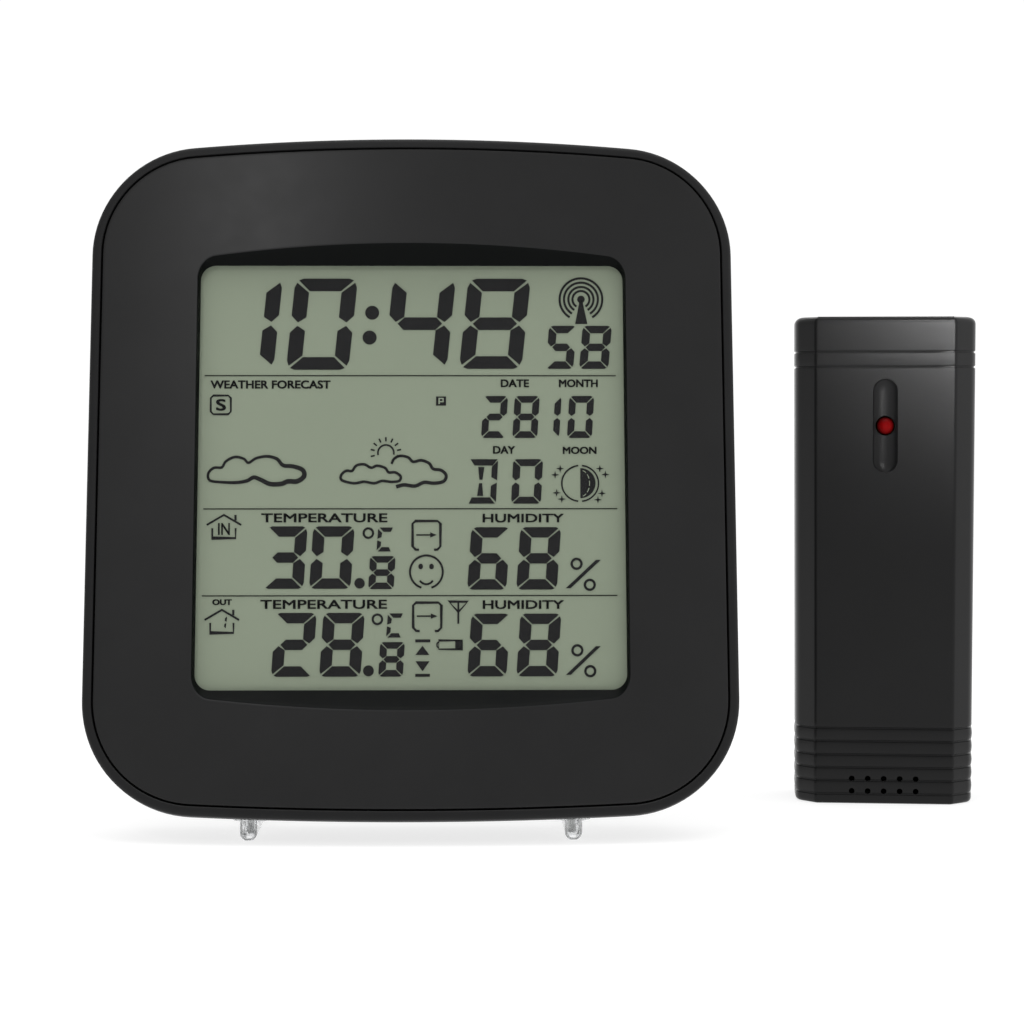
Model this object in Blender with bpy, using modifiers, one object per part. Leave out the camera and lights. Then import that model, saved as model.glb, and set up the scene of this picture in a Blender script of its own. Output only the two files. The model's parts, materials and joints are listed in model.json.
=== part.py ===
"""Home weather station: a desk console with a flat display, and its wireless outdoor sensor.

Metres, +Z up, the faces look along -Y. The origin is on the ground under the middle of the set's bounding box."""

import math

import bmesh
import bpy
from mathutils import Matrix, Vector

MM = 0.001

# Placing, in millimetres.
ORIGIN = (27.77, 40.0, 0.0)  # what becomes the world origin, seen from under the console's lower front edge
LEAN_DEG = 13.0
CONSOLE_LIFT = 4.9
SENSOR_AT = (97.5, 56.0, 0.0)
SENSOR_TURN_DEG = 7.0

# Console case.
CASE_W, CASE_H, CASE_D = 126.0, 134.0, 28.0
CORNER_R, LOW_CORNER_R, TOP_ARCH_R, BOTTOM_ARCH_R = 21.0, 22.5, 900.0, 700.0
FACE_R = 353.0
RIM_WALL, RIM_DEPTH = 1.9, 4.0
BACK_INSET, BACK_WALL = 10.0, 2.0
GAP = 0.3
BEZEL_T = 3.2

# Display.
WINDOW_W, WINDOW_H, WINDOW_Z, WINDOW_R = 82.6, 83.8, 67.1, 3.0
POCKET_W, POCKET_H = 89.2, 90.4
WINDOW_Y = 3.5

# Power and controls.
AA_D, AA_L = 14.5, 50.5
AA_Z = (25.6, 41.4)
BAY_W, BAY_Z0, BAY_Z1, BAY_Y = 65.0, 17.6, 49.4, 9.8
BUTTON_W, BUTTON_H, BUTTON_Z = 8.0, 4.4, 96.0
BUTTON_X = (-35.0, -21.0, -7.0, 7.0, 21.0, 35.0)
BUTTON_NAMES = ("channel", "alert", "memory", "down", "up", "mode")
SCREWS = ((-49.0, 28.0), (49.0, 28.0), (-49.0, 106.0), (49.0, 106.0))

# Feet.
FOOT_X, PIVOT_Y, FOOT_TOE, FOOT_HEEL = 31.0, 19.0, 11.5, 28.0
FOOT_W, FOOT_H, FOOT_FLAT = 3.3, 4.5, 1.4

# Outdoor sensor.
SENSOR_W, SENSOR_H, SENSOR_D, PARTING = 37.0, 101.0, 22.0, 13.0
PANEL_W, FACET_D = 28.0, 4.6
SENSOR_WALL = 1.8
AAA_D, AAA_L = 10.5, 44.5
AAA_X, AAA_Y, AAA_Z = 5.8, 14.4, 51.0
TOP_GROOVES = (94.0, 90.9)
LOW_GROOVES = (15.8, 13.1, 10.3, 7.6)
VENT_X, VENT_Z = (-6.6, -3.3, 0.0, 3.3, 6.6), (5.3, 2.7)
LED_Z = 78.7

for old in list(bpy.data.objects):
    bpy.data.objects.remove(old, do_unlink=True)
for old in list(bpy.data.collections):
    bpy.data.collections.remove(old)

scene = bpy.context.scene
parts = bpy.data.collections.new("home_weather_station")
cutters = bpy.data.collections.new("cutters")
cutters.hide_render = True
scene.collection.children.link(parts)
scene.collection.children.link(cutters)

materials = {}


def material(name, colour, roughness=0.5, metallic=0.0, alpha=1.0):
    if name not in materials:
        made = bpy.data.materials.new(name)
        made.use_nodes = True
        shader = made.node_tree.nodes["Principled BSDF"]
        shader.inputs["Base Color"].default_value = (*colour, 1.0)
        shader.inputs["Roughness"].default_value = roughness
        shader.inputs["Metallic"].default_value = metallic
        shader.inputs["Alpha"].default_value = alpha
        made.diffuse_color = (*colour, alpha)
        materials[name] = made
    return materials[name]


CASE_BLACK = ("case_black", (0.030, 0.030, 0.031), 0.42)
CLEAR = ("clear_plastic", (0.80, 0.82, 0.82), 0.08, 0.0, 0.35)
LCD_GREEN = ("lcd_green", (0.26, 0.31, 0.22), 0.30)
SILVER_FOIL = ("silver_foil", (0.62, 0.63, 0.62), 0.35)
WHITE_PLASTIC = ("white_plastic", (0.74, 0.74, 0.71), 0.45)
BOARD_GREEN = ("board_green", (0.02, 0.16, 0.07), 0.40)
CHIP_BLACK = ("chip_black", (0.015, 0.015, 0.016), 0.55)
STEEL = ("plated_steel", (0.62, 0.62, 0.60), 0.28, 1.0)
RUBBER = ("grey_rubber", (0.16, 0.16, 0.16), 0.80)
FERRITE = ("ferrite", (0.045, 0.042, 0.042), 0.60)
COPPER = ("copper_wire", (0.70, 0.34, 0.16), 0.30, 1.0)
CELL = ("cell_label", (0.09, 0.20, 0.33), 0.35)
LED_RED = ("led_red", (0.42, 0.02, 0.03), 0.12)


def empty(name, at=(0, 0, 0), rot_x=0.0, parent=None):
    made = bpy.data.objects.new(name, None)
    made.location = Vector(at) * MM
    made.rotation_euler.x = rot_x
    made.parent = parent
    parts.objects.link(made)
    return made


base = empty("set_origin", (-ORIGIN[0], -ORIGIN[1], -ORIGIN[2]))
tilt = empty("console_tilt", (0, 0, CONSOLE_LIFT), -math.radians(LEAN_DEG), base)
outdoor = empty("sensor_place", SENSOR_AT, 0.0, base)
outdoor.rotation_euler.z = -math.radians(SENSOR_TURN_DEG)


def finish(bm, name, look, parent, origin=(0, 0, 0), smooth=False, cutter=False):
    """Turns millimetre geometry into an object in metres whose origin sits at the given point."""
    bmesh.ops.translate(bm, verts=bm.verts, vec=-Vector(origin))
    bmesh.ops.scale(bm, verts=bm.verts, vec=(MM, MM, MM))
    bmesh.ops.recalc_face_normals(bm, faces=bm.faces)
    mesh = bpy.data.meshes.new(name)
    bm.to_mesh(mesh)
    bm.free()
    obj = bpy.data.objects.new(name, mesh)
    obj.location = Vector(origin) * MM
    obj.parent = parent
    if cutter:
        cutters.objects.link(obj)
        obj.hide_render = True
        obj.display_type = "WIRE"
    else:
        parts.objects.link(obj)
        mesh.materials.append(material(*look))
    if smooth:
        mesh.shade_smooth()
        mesh.set_sharp_from_angle(angle=math.radians(35))
    return obj


def boolean(obj, cutter, operation="DIFFERENCE"):
    made = obj.modifiers.new(cutter.name, "BOOLEAN")
    made.operation = operation
    made.solver = "EXACT"
    made.object = cutter


def add_box(bm, lo, hi):
    lo, hi = Vector(lo), Vector(hi)
    made = bmesh.ops.create_cube(bm, size=1.0)["verts"]
    bmesh.ops.scale(bm, verts=made, vec=hi - lo)
    bmesh.ops.translate(bm, verts=made, vec=(lo + hi) / 2)
    return made


def add_cyl(bm, radius, start, end, segments=20, radius_end=None):
    """A round solid from one point to another."""
    start, end = Vector(start), Vector(end)
    along = end - start
    turn = Vector((0, 0, 1)).rotation_difference(along).to_matrix().to_4x4()
    bmesh.ops.create_cone(
        bm,
        cap_ends=True,
        segments=segments,
        radius1=radius,
        radius2=radius if radius_end is None else radius_end,
        depth=along.length,
        matrix=Matrix.Translation((start + end) / 2) @ turn,
    )


def rounded(w, h, r, cx=0.0, cz=0.0, steps=4):
    """A rounded rectangle as (x, z) points, counter-clockwise."""
    points = []
    for sx, sz, first in ((1, 1, 0), (-1, 1, 90), (-1, -1, 180), (1, -1, 270)):
        for step in range(steps + 1):
            angle = math.radians(first + 90 * step / steps)
            points.append(
                (cx + sx * (w / 2 - r) + r * math.cos(angle), cz + sz * (h / 2 - r) + r * math.sin(angle))
            )
    return points


def add_loft(bm, loops, close=False):
    """Joins loops with the same number of points, then caps the two ends."""
    rings = [[bm.verts.new(point) for point in loop] for loop in loops]
    count = len(rings[0])
    for one, two in zip(rings, rings[1:]):
        for index in range(count):
            after = (index + 1) % count
            bm.faces.new((one[index], one[after], two[after], two[index]))
    return rings


def cap(bm, ring):
    bm.faces.new(ring)


def strip_cap(bm, ring):
    """Caps a loop made by case_loop with upright strips, so that it follows the face's curve."""
    half = len(ring) // 2
    for index in range(half - 1):
        bm.faces.new((ring[index], ring[index + 1], ring[-index - 2], ring[-index - 1]))


def add_prism(bm, outline, y0, y1):
    rings = add_loft(bm, [[(x, y0, z) for x, z in outline], [(x, y1, z) for x, z in outline]])
    cap(bm, rings[0])
    cap(bm, rings[1])


def box(name, look, lo, hi, parent, origin=None, bevel=0.0):
    bm = bmesh.new()
    add_box(bm, lo, hi)
    middle = [(a + b) / 2 for a, b in zip(lo, hi)]
    obj = finish(bm, name, look, parent, middle if origin is None else origin)
    if bevel:
        made = obj.modifiers.new("bevel", "BEVEL")
        made.width = bevel * MM
        made.segments = 2
    return obj


def plate(name, look, w, h, r, y0, y1, parent, cx=0.0, cz=0.0, steps=4):
    bm = bmesh.new()
    add_prism(bm, rounded(w, h, r, cx, cz, steps), y0, y1)
    return finish(bm, name, look, parent, (cx, (y0 + y1) / 2, cz))


def lathe(name, look, profile, parent, place, steps=24, axis="Z", cutter=False):
    """A turned solid from (radius, height) points running down its outer side, on the given axis through place."""
    bm = bmesh.new()
    rings = []
    for radius, height in profile:
        ring = []
        for step in range(steps):
            angle = 2 * math.pi * step / steps
            x, y = radius * math.cos(angle), radius * math.sin(angle)
            point = {"Z": (x, y, height), "Y": (x, height, -y), "X": (height, x, y)}[axis]
            ring.append(bm.verts.new(Vector(point) + Vector(place)))
        rings.append(ring)
    for one, two in zip(rings, rings[1:]):
        for index in range(steps):
            after = (index + 1) % steps
            bm.faces.new((one[index], one[after], two[after], two[index]))
    bm.faces.new(rings[0])
    bm.faces.new(rings[-1])
    return finish(bm, name, look, parent, place, smooth=not cutter, cutter=cutter)


def coil(name, look, parent, start, axis, radius, radius_end, length, turns, wire, per_turn=12):
    """A battery spring: round wire wound round the axis, tapering towards the cell."""
    bm = bmesh.new()
    axis = Vector(axis)
    turn = Vector((0, 0, 1)).rotation_difference(axis).to_matrix()
    total = int(turns * per_turn)
    loops = []
    for step in range(total + 1):
        part = step / total
        angle = 2 * math.pi * turns * part
        reach = radius + (radius_end - radius) * part
        centre = Vector((reach * math.cos(angle), reach * math.sin(angle), wire + (length - 2 * wire) * part))
        out = Vector((math.cos(angle), math.sin(angle), 0))
        loops.append(
            [
                Vector(start) + turn @ (centre + out * wire * math.cos(a) + Vector((0, 0, wire * math.sin(a))))
                for a in (2 * math.pi * k / 6 for k in range(6))
            ]
        )
    rings = add_loft(bm, loops)
    cap(bm, rings[0])
    cap(bm, rings[-1])
    return finish(bm, name, look, parent, start, smooth=True)


# ---------------------------------------------------------------- console case


def face_y(x):
    return FACE_R - math.sqrt(FACE_R * FACE_R - x * x)


def case_stations(inset, corner_steps=6, arch_steps=5):
    """Shared x positions of the outline's upper and lower edges."""
    reach = CASE_W / 2 - CORNER_R
    radius = CORNER_R - inset
    tangent = TOP_ARCH_R * reach / (TOP_ARCH_R - CORNER_R)
    start = math.acos((tangent - reach) / CORNER_R)
    half = [reach + radius * math.cos(start * step / corner_steps) for step in range(corner_steps + 1)]
    edge = half[-1]
    half += [edge * (1 - step / arch_steps) for step in range(1, arch_steps)]
    return [-x for x in half] + [0.0] + half[::-1]


def edge_height(x, arch, turn, inset):
    """How far the outline at x lies from the middle of an arched edge, the corner of radius turn included."""
    reach = CASE_W / 2 - turn
    x = abs(x)
    corner = math.sqrt((arch - turn) ** 2 - reach * reach) - arch
    tangent = (arch - inset) * reach / (arch - turn)
    if x <= tangent:
        return math.sqrt((arch - inset) ** 2 - x * x) - arch
    radius = turn - inset
    return corner + math.sqrt(max(radius * radius - (x - reach) ** 2, 0.0))


def case_loop(inset, depth, follow=True):
    xs = case_stations(inset)
    top = [(x, depth + (face_y(x) if follow else 0.0), CASE_H + edge_height(x, TOP_ARCH_R, CORNER_R, inset)) for x in xs]
    bottom = [(x, depth + (face_y(x) if follow else 0.0), -edge_height(x, BOTTOM_ARCH_R, LOW_CORNER_R, inset)) for x in xs]
    return top + bottom[::-1]


bm = bmesh.new()
rings = add_loft(
    bm,
    [
        case_loop(BACK_INSET, CASE_D, False),
        case_loop(7.0, 24.0, False),
        case_loop(4.5, 15.0, False),
        case_loop(2.5, RIM_DEPTH + 1.5),
        case_loop(0.0, RIM_DEPTH),
        case_loop(0.35, 0.25),
        case_loop(0.6, 0.0),
        case_loop(RIM_WALL, 0.0),
        case_loop(RIM_WALL, RIM_DEPTH),
        case_loop(4.4, 6.2),
        case_loop(6.3, 14.8, False),
        case_loop(8.8, 23.2, False),
        case_loop(11.2, CASE_D - BACK_WALL, False),
    ],
)
cap(bm, rings[0])
cap(bm, rings[-1])
rear_case = finish(bm, "rear_case", CASE_BLACK, tilt)

# The battery bay is moulded into the case, open at the back.
bm = bmesh.new()
add_box(bm, (-BAY_W / 2 - 1.2, BAY_Y, BAY_Z0 - 1.2), (BAY_W / 2 + 1.2, CASE_D - 1.0, BAY_Z1 + 1.2))
bay = finish(bm, "add_battery_bay", None, tilt, cutter=True)
boolean(rear_case, bay, "UNION")

# The two foot bosses stand upright to the floor, whatever the lean.
bm = bmesh.new()
for side in (-1, 1):
    add_cyl(bm, 4.0, (side * FOOT_X, PIVOT_Y, FOOT_H + 0.4), (side * FOOT_X, PIVOT_Y, 11.5), 20)
bosses = finish(bm, "add_foot_bosses", None, base, cutter=True)
boolean(rear_case, bosses, "UNION")

bm = bmesh.new()
add_box(bm, (-BAY_W / 2, BAY_Y + 1.0, BAY_Z0), (BAY_W / 2, CASE_D + 2, BAY_Z1))
hollow = finish(bm, "cut_battery_bay", None, tilt, cutter=True)
boolean(rear_case, hollow)

bm = bmesh.new()
for x in BUTTON_X:
    add_prism(bm, rounded(BUTTON_W + 0.6, BUTTON_H + 0.6, 1.5, x, BUTTON_Z, 3), CASE_D - 4, CASE_D + 2)
for step in range(6):
    add_box(bm, (-46.0, CASE_D - 4, 62.0 + 4.0 * step), (-32.0, CASE_D + 2, 63.6 + 4.0 * step))
    add_box(bm, (32.0, CASE_D - 4, 62.0 + 4.0 * step), (46.0, CASE_D + 2, 63.6 + 4.0 * step))
controls = finish(bm, "cut_buttons_and_vents", None, tilt, cutter=True)
boolean(rear_case, controls)

# Keyhole for a wall screw: a round hole with a narrower slot above it.
KEY_Z, KEY_R, KEY_SLOT, KEY_TOP = 106.5, 4.4, 4.8, 116.5
bm = bmesh.new()
outline = []
rise = math.asin(KEY_SLOT / 2 / KEY_R)
for step in range(19):
    angle = math.pi / 2 + rise + (2 * math.pi - 2 * rise) * step / 18
    outline.append((KEY_R * math.cos(angle), KEY_Z + KEY_R * math.sin(angle)))
for step in range(7):
    angle = math.pi * step / 6
    outline.append((KEY_SLOT / 2 * math.cos(angle), KEY_TOP - KEY_SLOT / 2 + KEY_SLOT / 2 * math.sin(angle)))
add_prism(bm, outline, CASE_D - 4, CASE_D + 2)
keyhole = finish(bm, "cut_keyhole", None, tilt, cutter=True)
boolean(rear_case, keyhole)

bm = bmesh.new()
for x, z in SCREWS:
    add_cyl(bm, 1.6, (x, CASE_D - 5, z), (x, CASE_D + 2, z), 16)
screw_holes = finish(bm, "cut_screw_holes", None, tilt, cutter=True)
boolean(rear_case, screw_holes)
bm = bmesh.new()
for x, z in SCREWS:
    add_cyl(bm, 2.9, (x, CASE_D - 1.1, z), (x, CASE_D + 2, z), 20)
screw_seats = finish(bm, "cut_screw_seats", None, tilt, cutter=True)
boolean(rear_case, screw_seats)

bm = bmesh.new()
for side in (-1, 1):
    add_cyl(bm, 1.05, (side * FOOT_X, PIVOT_Y, 2.0), (side * FOOT_X, PIVOT_Y, 9.5), 16)
pin_holes = finish(bm, "cut_pin_holes", None, base, cutter=True)
boolean(rear_case, pin_holes)

# ---------------------------------------------------------------- front bezel

bm = bmesh.new()
rings = add_loft(
    bm,
    [
        case_loop(RIM_WALL + GAP + 0.3, 0.0),
        case_loop(RIM_WALL + GAP, 0.25),
        case_loop(RIM_WALL + GAP, BEZEL_T),
    ],
)
strip_cap(bm, rings[0])
strip_cap(bm, rings[-1])
bezel = finish(bm, "front_bezel", CASE_BLACK, tilt)

bm = bmesh.new()
for x, z in SCREWS:
    add_cyl(bm, 2.8, (x, 5.0, z), (x, 23.4, z), 20)
posts = finish(bm, "add_screw_posts", None, tilt, cutter=True)
boolean(bezel, posts, "UNION")

bm = bmesh.new()
for x, z in SCREWS:
    add_cyl(bm, 1.5, (x, 14.0, z), (x, 26.0, z), 16)
post_holes = finish(bm, "cut_post_holes", None, tilt, cutter=True)
boolean(bezel, post_holes)

bm = bmesh.new()
rings = add_loft(
    bm,
    [
        [(x, -1.0, z) for x, z in rounded(WINDOW_W + 2.0, WINDOW_H + 9.4, WINDOW_R + 1.5, 0, WINDOW_Z)],
        [(x, WINDOW_Y, z) for x, z in rounded(WINDOW_W, WINDOW_H, WINDOW_R, 0, WINDOW_Z)],
        [(x, WINDOW_Y + 2.0, z) for x, z in rounded(WINDOW_W, WINDOW_H, WINDOW_R, 0, WINDOW_Z)],
    ],
)
cap(bm, rings[0])
cap(bm, rings[-1])
window_cut = finish(bm, "cut_window", None, tilt, cutter=True)
boolean(bezel, window_cut)

bm = bmesh.new()
add_box(
    bm,
    (-POCKET_W / 2, WINDOW_Y - 0.1, WINDOW_Z - POCKET_H / 2),
    (POCKET_W / 2, 12.0, WINDOW_Z + POCKET_H / 2),
)
pocket_cut = finish(bm, "cut_display_pocket", None, tilt, cutter=True)
boolean(bezel, pocket_cut)

# ---------------------------------------------------------------- display

plate("display_window", CLEAR, POCKET_W - 0.6, POCKET_H - 0.6, 1.0, WINDOW_Y + 0.2, WINDOW_Y + 1.2, tilt, 0, WINDOW_Z, 2)
plate("lcd_panel", LCD_GREEN, POCKET_W - 0.8, POCKET_H - 0.8, 0.8, WINDOW_Y + 1.5, WINDOW_Y + 3.3, tilt, 0, WINDOW_Z, 2)
box("lcd_reflector", SILVER_FOIL, (-43.5, 7.1, 24.0), (43.5, 7.4, 107.5), tilt)
box("lcd_connector_strip", RUBBER, (-40.0, 7.1, 108.2), (40.0, 11.2, 110.4), tilt)
bm = bmesh.new()
add_prism(bm, rounded(91.2, 92.0, 2.0, 0, WINDOW_Z, 3), 7.7, 9.4)
lcd_frame = finish(bm, "lcd_frame", WHITE_PLASTIC, tilt, (0, 8.5, WINDOW_Z))
bm = bmesh.new()
add_prism(bm, rounded(84.0, 86.8, 2.0, 0, WINDOW_Z + 0.6, 3), 6.0, 11.0)
frame_cut = finish(bm, "cut_lcd_frame", None, tilt, cutter=True)
boolean(lcd_frame, frame_cut)

# ---------------------------------------------------------------- console electronics

box("main_board", BOARD_GREEN, (-45.0, 11.5, 52.0), (45.0, 13.1, 114.0), tilt)
box("controller_chip", CHIP_BLACK, (-7.0, 13.4, 74.0), (7.0, 15.4, 88.0), tilt, bevel=0.3)
lathe("clock_crystal", STEEL, [(1.5, 4.0), (1.5, -4.0)], tilt, (14.0, 15.2, 82.0), 14, "X")
lathe("alarm_buzzer", CHIP_BLACK, [(6.0, 20.4), (6.0, 13.4)], tilt, (26.0, 0.0, 80.0), 28, "Y")
box("radio_receiver_board", BOARD_GREEN, (-26.0, 13.4, 74.0), (-12.0, 14.6, 89.0), tilt)
coil("receiver_antenna", COPPER, tilt, (-19.0, 14.9, 76.0), (0, 1, 0), 2.6, 2.6, 8.0, 4.0, 0.45)
lathe("clock_ferrite_rod", FERRITE, [(3.6, 25.0), (3.6, -25.0)], tilt, (0, 20.0, 58.6), 20, "X")
bm = bmesh.new()
add_cyl(bm, 5.2, (-10.0, 20.0, 58.6), (10.0, 20.0, 58.6), 24)
winding = finish(bm, "clock_antenna_coil", COPPER, tilt, (0, 20.0, 58.6), smooth=True)
bm = bmesh.new()
add_cyl(bm, 3.9, (-14.0, 20.0, 58.6), (14.0, 20.0, 58.6), 20)
winding_cut = finish(bm, "cut_winding", None, tilt, cutter=True)
boolean(winding, winding_cut)
box("indoor_climate_sensor", WHITE_PLASTIC, (-42.0, 13.4, 66.0), (-34.0, 19.4, 76.0), tilt, bevel=0.4)
plate("keypad_mat", RUBBER, 80.0, 7.0, 1.5, 13.4, 14.4, tilt, 0, BUTTON_Z, 3)

for x, word in zip(BUTTON_X, BUTTON_NAMES):
    bm = bmesh.new()
    outline = rounded(BUTTON_W, BUTTON_H, 1.2, x, BUTTON_Z, 3)
    small = rounded(BUTTON_W - 0.8, BUTTON_H - 0.8, 0.9, x, BUTTON_Z, 3)
    rings = add_loft(
        bm,
        [
            [(px, 15.3, pz) for px, pz in small],
            [(px, CASE_D - 3.0, pz) for px, pz in small],
            [(px, CASE_D - 2.9, pz) for px, pz in outline],
            [(px, CASE_D - 0.1, pz) for px, pz in outline],
            [(px, CASE_D + 0.2, pz) for px, pz in small],
        ],
    )
    cap(bm, rings[0])
    cap(bm, rings[-1])
    finish(bm, "button_" + word, CASE_BLACK, tilt, (x, CASE_D, BUTTON_Z))

for (x, z), word in zip(SCREWS, ("lower_right", "lower_left", "upper_right", "upper_left")):
    lathe(
        "case_screw_" + word,
        STEEL,
        [(2.5, -0.2), (2.5, -0.8), (1.2, -0.9), (1.2, -11.5)],
        tilt,
        (x, CASE_D, z),
        20,
        "Y",
    )

# ---------------------------------------------------------------- console power

door = plate(
    "console_battery_door",
    CASE_BLACK,
    BAY_W - 0.8,
    BAY_Z1 - BAY_Z0 - 0.8,
    0.8,
    CASE_D - 1.6,
    CASE_D,
    tilt,
    0,
    (BAY_Z0 + BAY_Z1) / 2,
    2,
)
bm = bmesh.new()
add_cyl(bm, 9.0, (0, CASE_D + 8.35, BAY_Z1 - 10.0), (0, CASE_D + 8.35, BAY_Z1 - 4.0), 32)
thumb = finish(bm, "cut_thumb_grip", None, tilt, cutter=True)
boolean(door, thumb)

CELL_Y = BAY_Y + 1.3 + AA_D / 2
for z, word, flip in ((AA_Z[0], "lower", 1), (AA_Z[1], "upper", -1)):
    half = AA_L / 2
    lathe(
        "aa_cell_" + word,
        CELL,
        [
            (2.7, flip * half),
            (2.7, flip * (half - 1.2)),
            (AA_D / 2 - 0.5, flip * (half - 1.2)),
            (AA_D / 2, flip * (half - 1.8)),
            (AA_D / 2, flip * (-half + 0.6)),
            (AA_D / 2 - 0.6, flip * -half),
        ],
        tilt,
        (0, CELL_Y, z),
        28,
        "X",
    )
    coil(
        "aa_spring_" + word,
        STEEL,
        tilt,
        (-flip * (BAY_W / 2 - 0.8), CELL_Y, z),
        (flip, 0, 0),
        4.6,
        2.8,
        5.8,
        3.5,
        0.4,
    )
box("aa_contact_plate_lower", STEEL, (BAY_W / 2 - 0.7, CELL_Y - 5.5, AA_Z[0] - 5.5), (BAY_W / 2 - 0.3, CELL_Y + 5.5, AA_Z[0] + 5.5), tilt)
box("aa_contact_plate_upper", STEEL, (-BAY_W / 2 + 0.3, CELL_Y - 5.5, AA_Z[1] - 5.5), (-BAY_W / 2 + 0.7, CELL_Y + 5.5, AA_Z[1] + 5.5), tilt)

# ---------------------------------------------------------------- feet


def foot_section(y):
    """Upright sides, a round underside, and a narrow flat to stand on."""
    half, points = FOOT_W / 2, []
    start = math.asin(FOOT_FLAT / 2 / half)
    for step in range(6):
        angle = start + (math.pi / 2 - start) * step / 5
        points.append((half * math.sin(angle), half * (math.cos(start) - math.cos(angle))))
    outline = [(half, FOOT_H)] + points[::-1] + [(-x, z) for x, z in points] + [(-half, FOOT_H)]
    return [(x, y, z) for x, z in outline]


for side, word in ((-1, "left"), (1, "right")):
    at = (side * FOOT_X, PIVOT_Y, 0.0)
    bm = bmesh.new()
    rings = add_loft(bm, [foot_section(-FOOT_TOE), foot_section(FOOT_HEEL)])
    cap(bm, rings[0])
    cap(bm, rings[1])
    bmesh.ops.translate(bm, verts=bm.verts, vec=at)
    foot = finish(bm, "foot_" + word, CLEAR, base, at)
    bm = bmesh.new()
    add_cyl(bm, 4.0, (at[0], at[1], 2.6), (at[0], at[1], FOOT_H), 24)
    pad = finish(bm, "add_foot_pad_" + word, None, base, at, cutter=True)
    boolean(foot, pad, "UNION")
    bm = bmesh.new()
    add_cyl(bm, 1.05, (at[0], at[1], -1.0), (at[0], at[1], 6.0), 16)
    hole = finish(bm, "cut_foot_hole_" + word, None, base, at, cutter=True)
    boolean(foot, hole)
    bm = bmesh.new()
    add_cyl(bm, 1.3, (at[0], at[1], -1.0), (at[0], at[1], 1.9), 20)
    seat = finish(bm, "cut_foot_seat_" + word, None, base, at, cutter=True)
    boolean(foot, seat)
    lathe("foot_pin_" + word, STEEL, [(0.75, 9.0), (0.75, 1.6), (1.0, 1.6), (1.0, 0.5)], base, at, 16)

# ---------------------------------------------------------------- outdoor sensor


def shell_loop(w, h, r, y, cz=SENSOR_H / 2):
    return [(x, y, z) for x, z in rounded(w, h, r, 0, cz, 3)]


bm = bmesh.new()
rings = add_loft(
    bm,
    [
        shell_loop(PANEL_W, SENSOR_H - 1.2, 1.0, 0.0),
        shell_loop(SENSOR_W - 0.6, SENSOR_H, 1.4, FACET_D),
        shell_loop(SENSOR_W, SENSOR_H, 1.6, PARTING),
        shell_loop(SENSOR_W - 2 * SENSOR_WALL, SENSOR_H - 2 * SENSOR_WALL, 0.8, PARTING),
        shell_loop(SENSOR_W - 2 * SENSOR_WALL - 0.6, SENSOR_H - 2 * SENSOR_WALL, 0.8, FACET_D + 1.0),
        shell_loop(PANEL_W - 2.0, SENSOR_H - 2 * SENSOR_WALL - 0.4, 0.6, SENSOR_WALL),
    ],
)
cap(bm, rings[0])
cap(bm, rings[-1])
front_shell = finish(bm, "sensor_front_shell", CASE_BLACK, outdoor)

bm = bmesh.new()
for z in TOP_GROOVES + LOW_GROOVES:
    add_box(bm, (-PANEL_W / 2 - 0.5, -1.0, z - 0.35), (PANEL_W / 2 + 0.5, 0.5, z + 0.35))
grooves = finish(bm, "cut_sensor_grooves", None, outdoor, cutter=True)
boolean(front_shell, grooves)

bm = bmesh.new()
add_prism(bm, rounded(5.1, 19.5, 2.5, 0, LED_Z, 5), -1.0, 0.9)
slot = finish(bm, "cut_led_slot", None, outdoor, cutter=True)
boolean(front_shell, slot)

bm = bmesh.new()
add_cyl(bm, 2.1, (0, 0.4, LED_Z), (0, 3.0, LED_Z), 20)
for x in VENT_X:
    for z in VENT_Z:
        add_cyl(bm, 0.6, (x, -1.0, z), (x, 3.0, z), 8)
vents = finish(bm, "cut_led_and_vents", None, outdoor, cutter=True)
boolean(front_shell, vents)

bm = bmesh.new()
rings = add_loft(
    bm,
    [
        shell_loop(SENSOR_W - 2.4, SENSOR_H - 2.0, 1.6, SENSOR_D),
        shell_loop(SENSOR_W, SENSOR_H, 1.6, SENSOR_D - 1.4),
        shell_loop(SENSOR_W, SENSOR_H, 1.6, PARTING + GAP),
        shell_loop(SENSOR_W - 2 * SENSOR_WALL, SENSOR_H - 2 * SENSOR_WALL, 0.8, PARTING + GAP),
        shell_loop(SENSOR_W - 2 * SENSOR_WALL, SENSOR_H - 2 * SENSOR_WALL, 0.8, SENSOR_D - SENSOR_WALL),
    ],
)
cap(bm, rings[0])
cap(bm, rings[-1])
rear_shell = finish(bm, "sensor_rear_shell", CASE_BLACK, outdoor)

TRAY_X, TRAY_Z0, TRAY_Z1, TRAY_Y = 12.6, 25.4, 76.6, 7.6
bm = bmesh.new()
add_box(bm, (-TRAY_X - 1.0, TRAY_Y, TRAY_Z0 - 1.0), (TRAY_X + 1.0, SENSOR_D - 1.0, TRAY_Z1 + 1.0))
tray = finish(bm, "add_sensor_battery_bay", None, outdoor, cutter=True)
boolean(rear_shell, tray, "UNION")
bm = bmesh.new()
add_box(bm, (-TRAY_X, TRAY_Y + 1.0, TRAY_Z0), (TRAY_X, SENSOR_D + 2, TRAY_Z1))
tray_cut = finish(bm, "cut_sensor_battery_bay", None, outdoor, cutter=True)
boolean(rear_shell, tray_cut)

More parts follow.
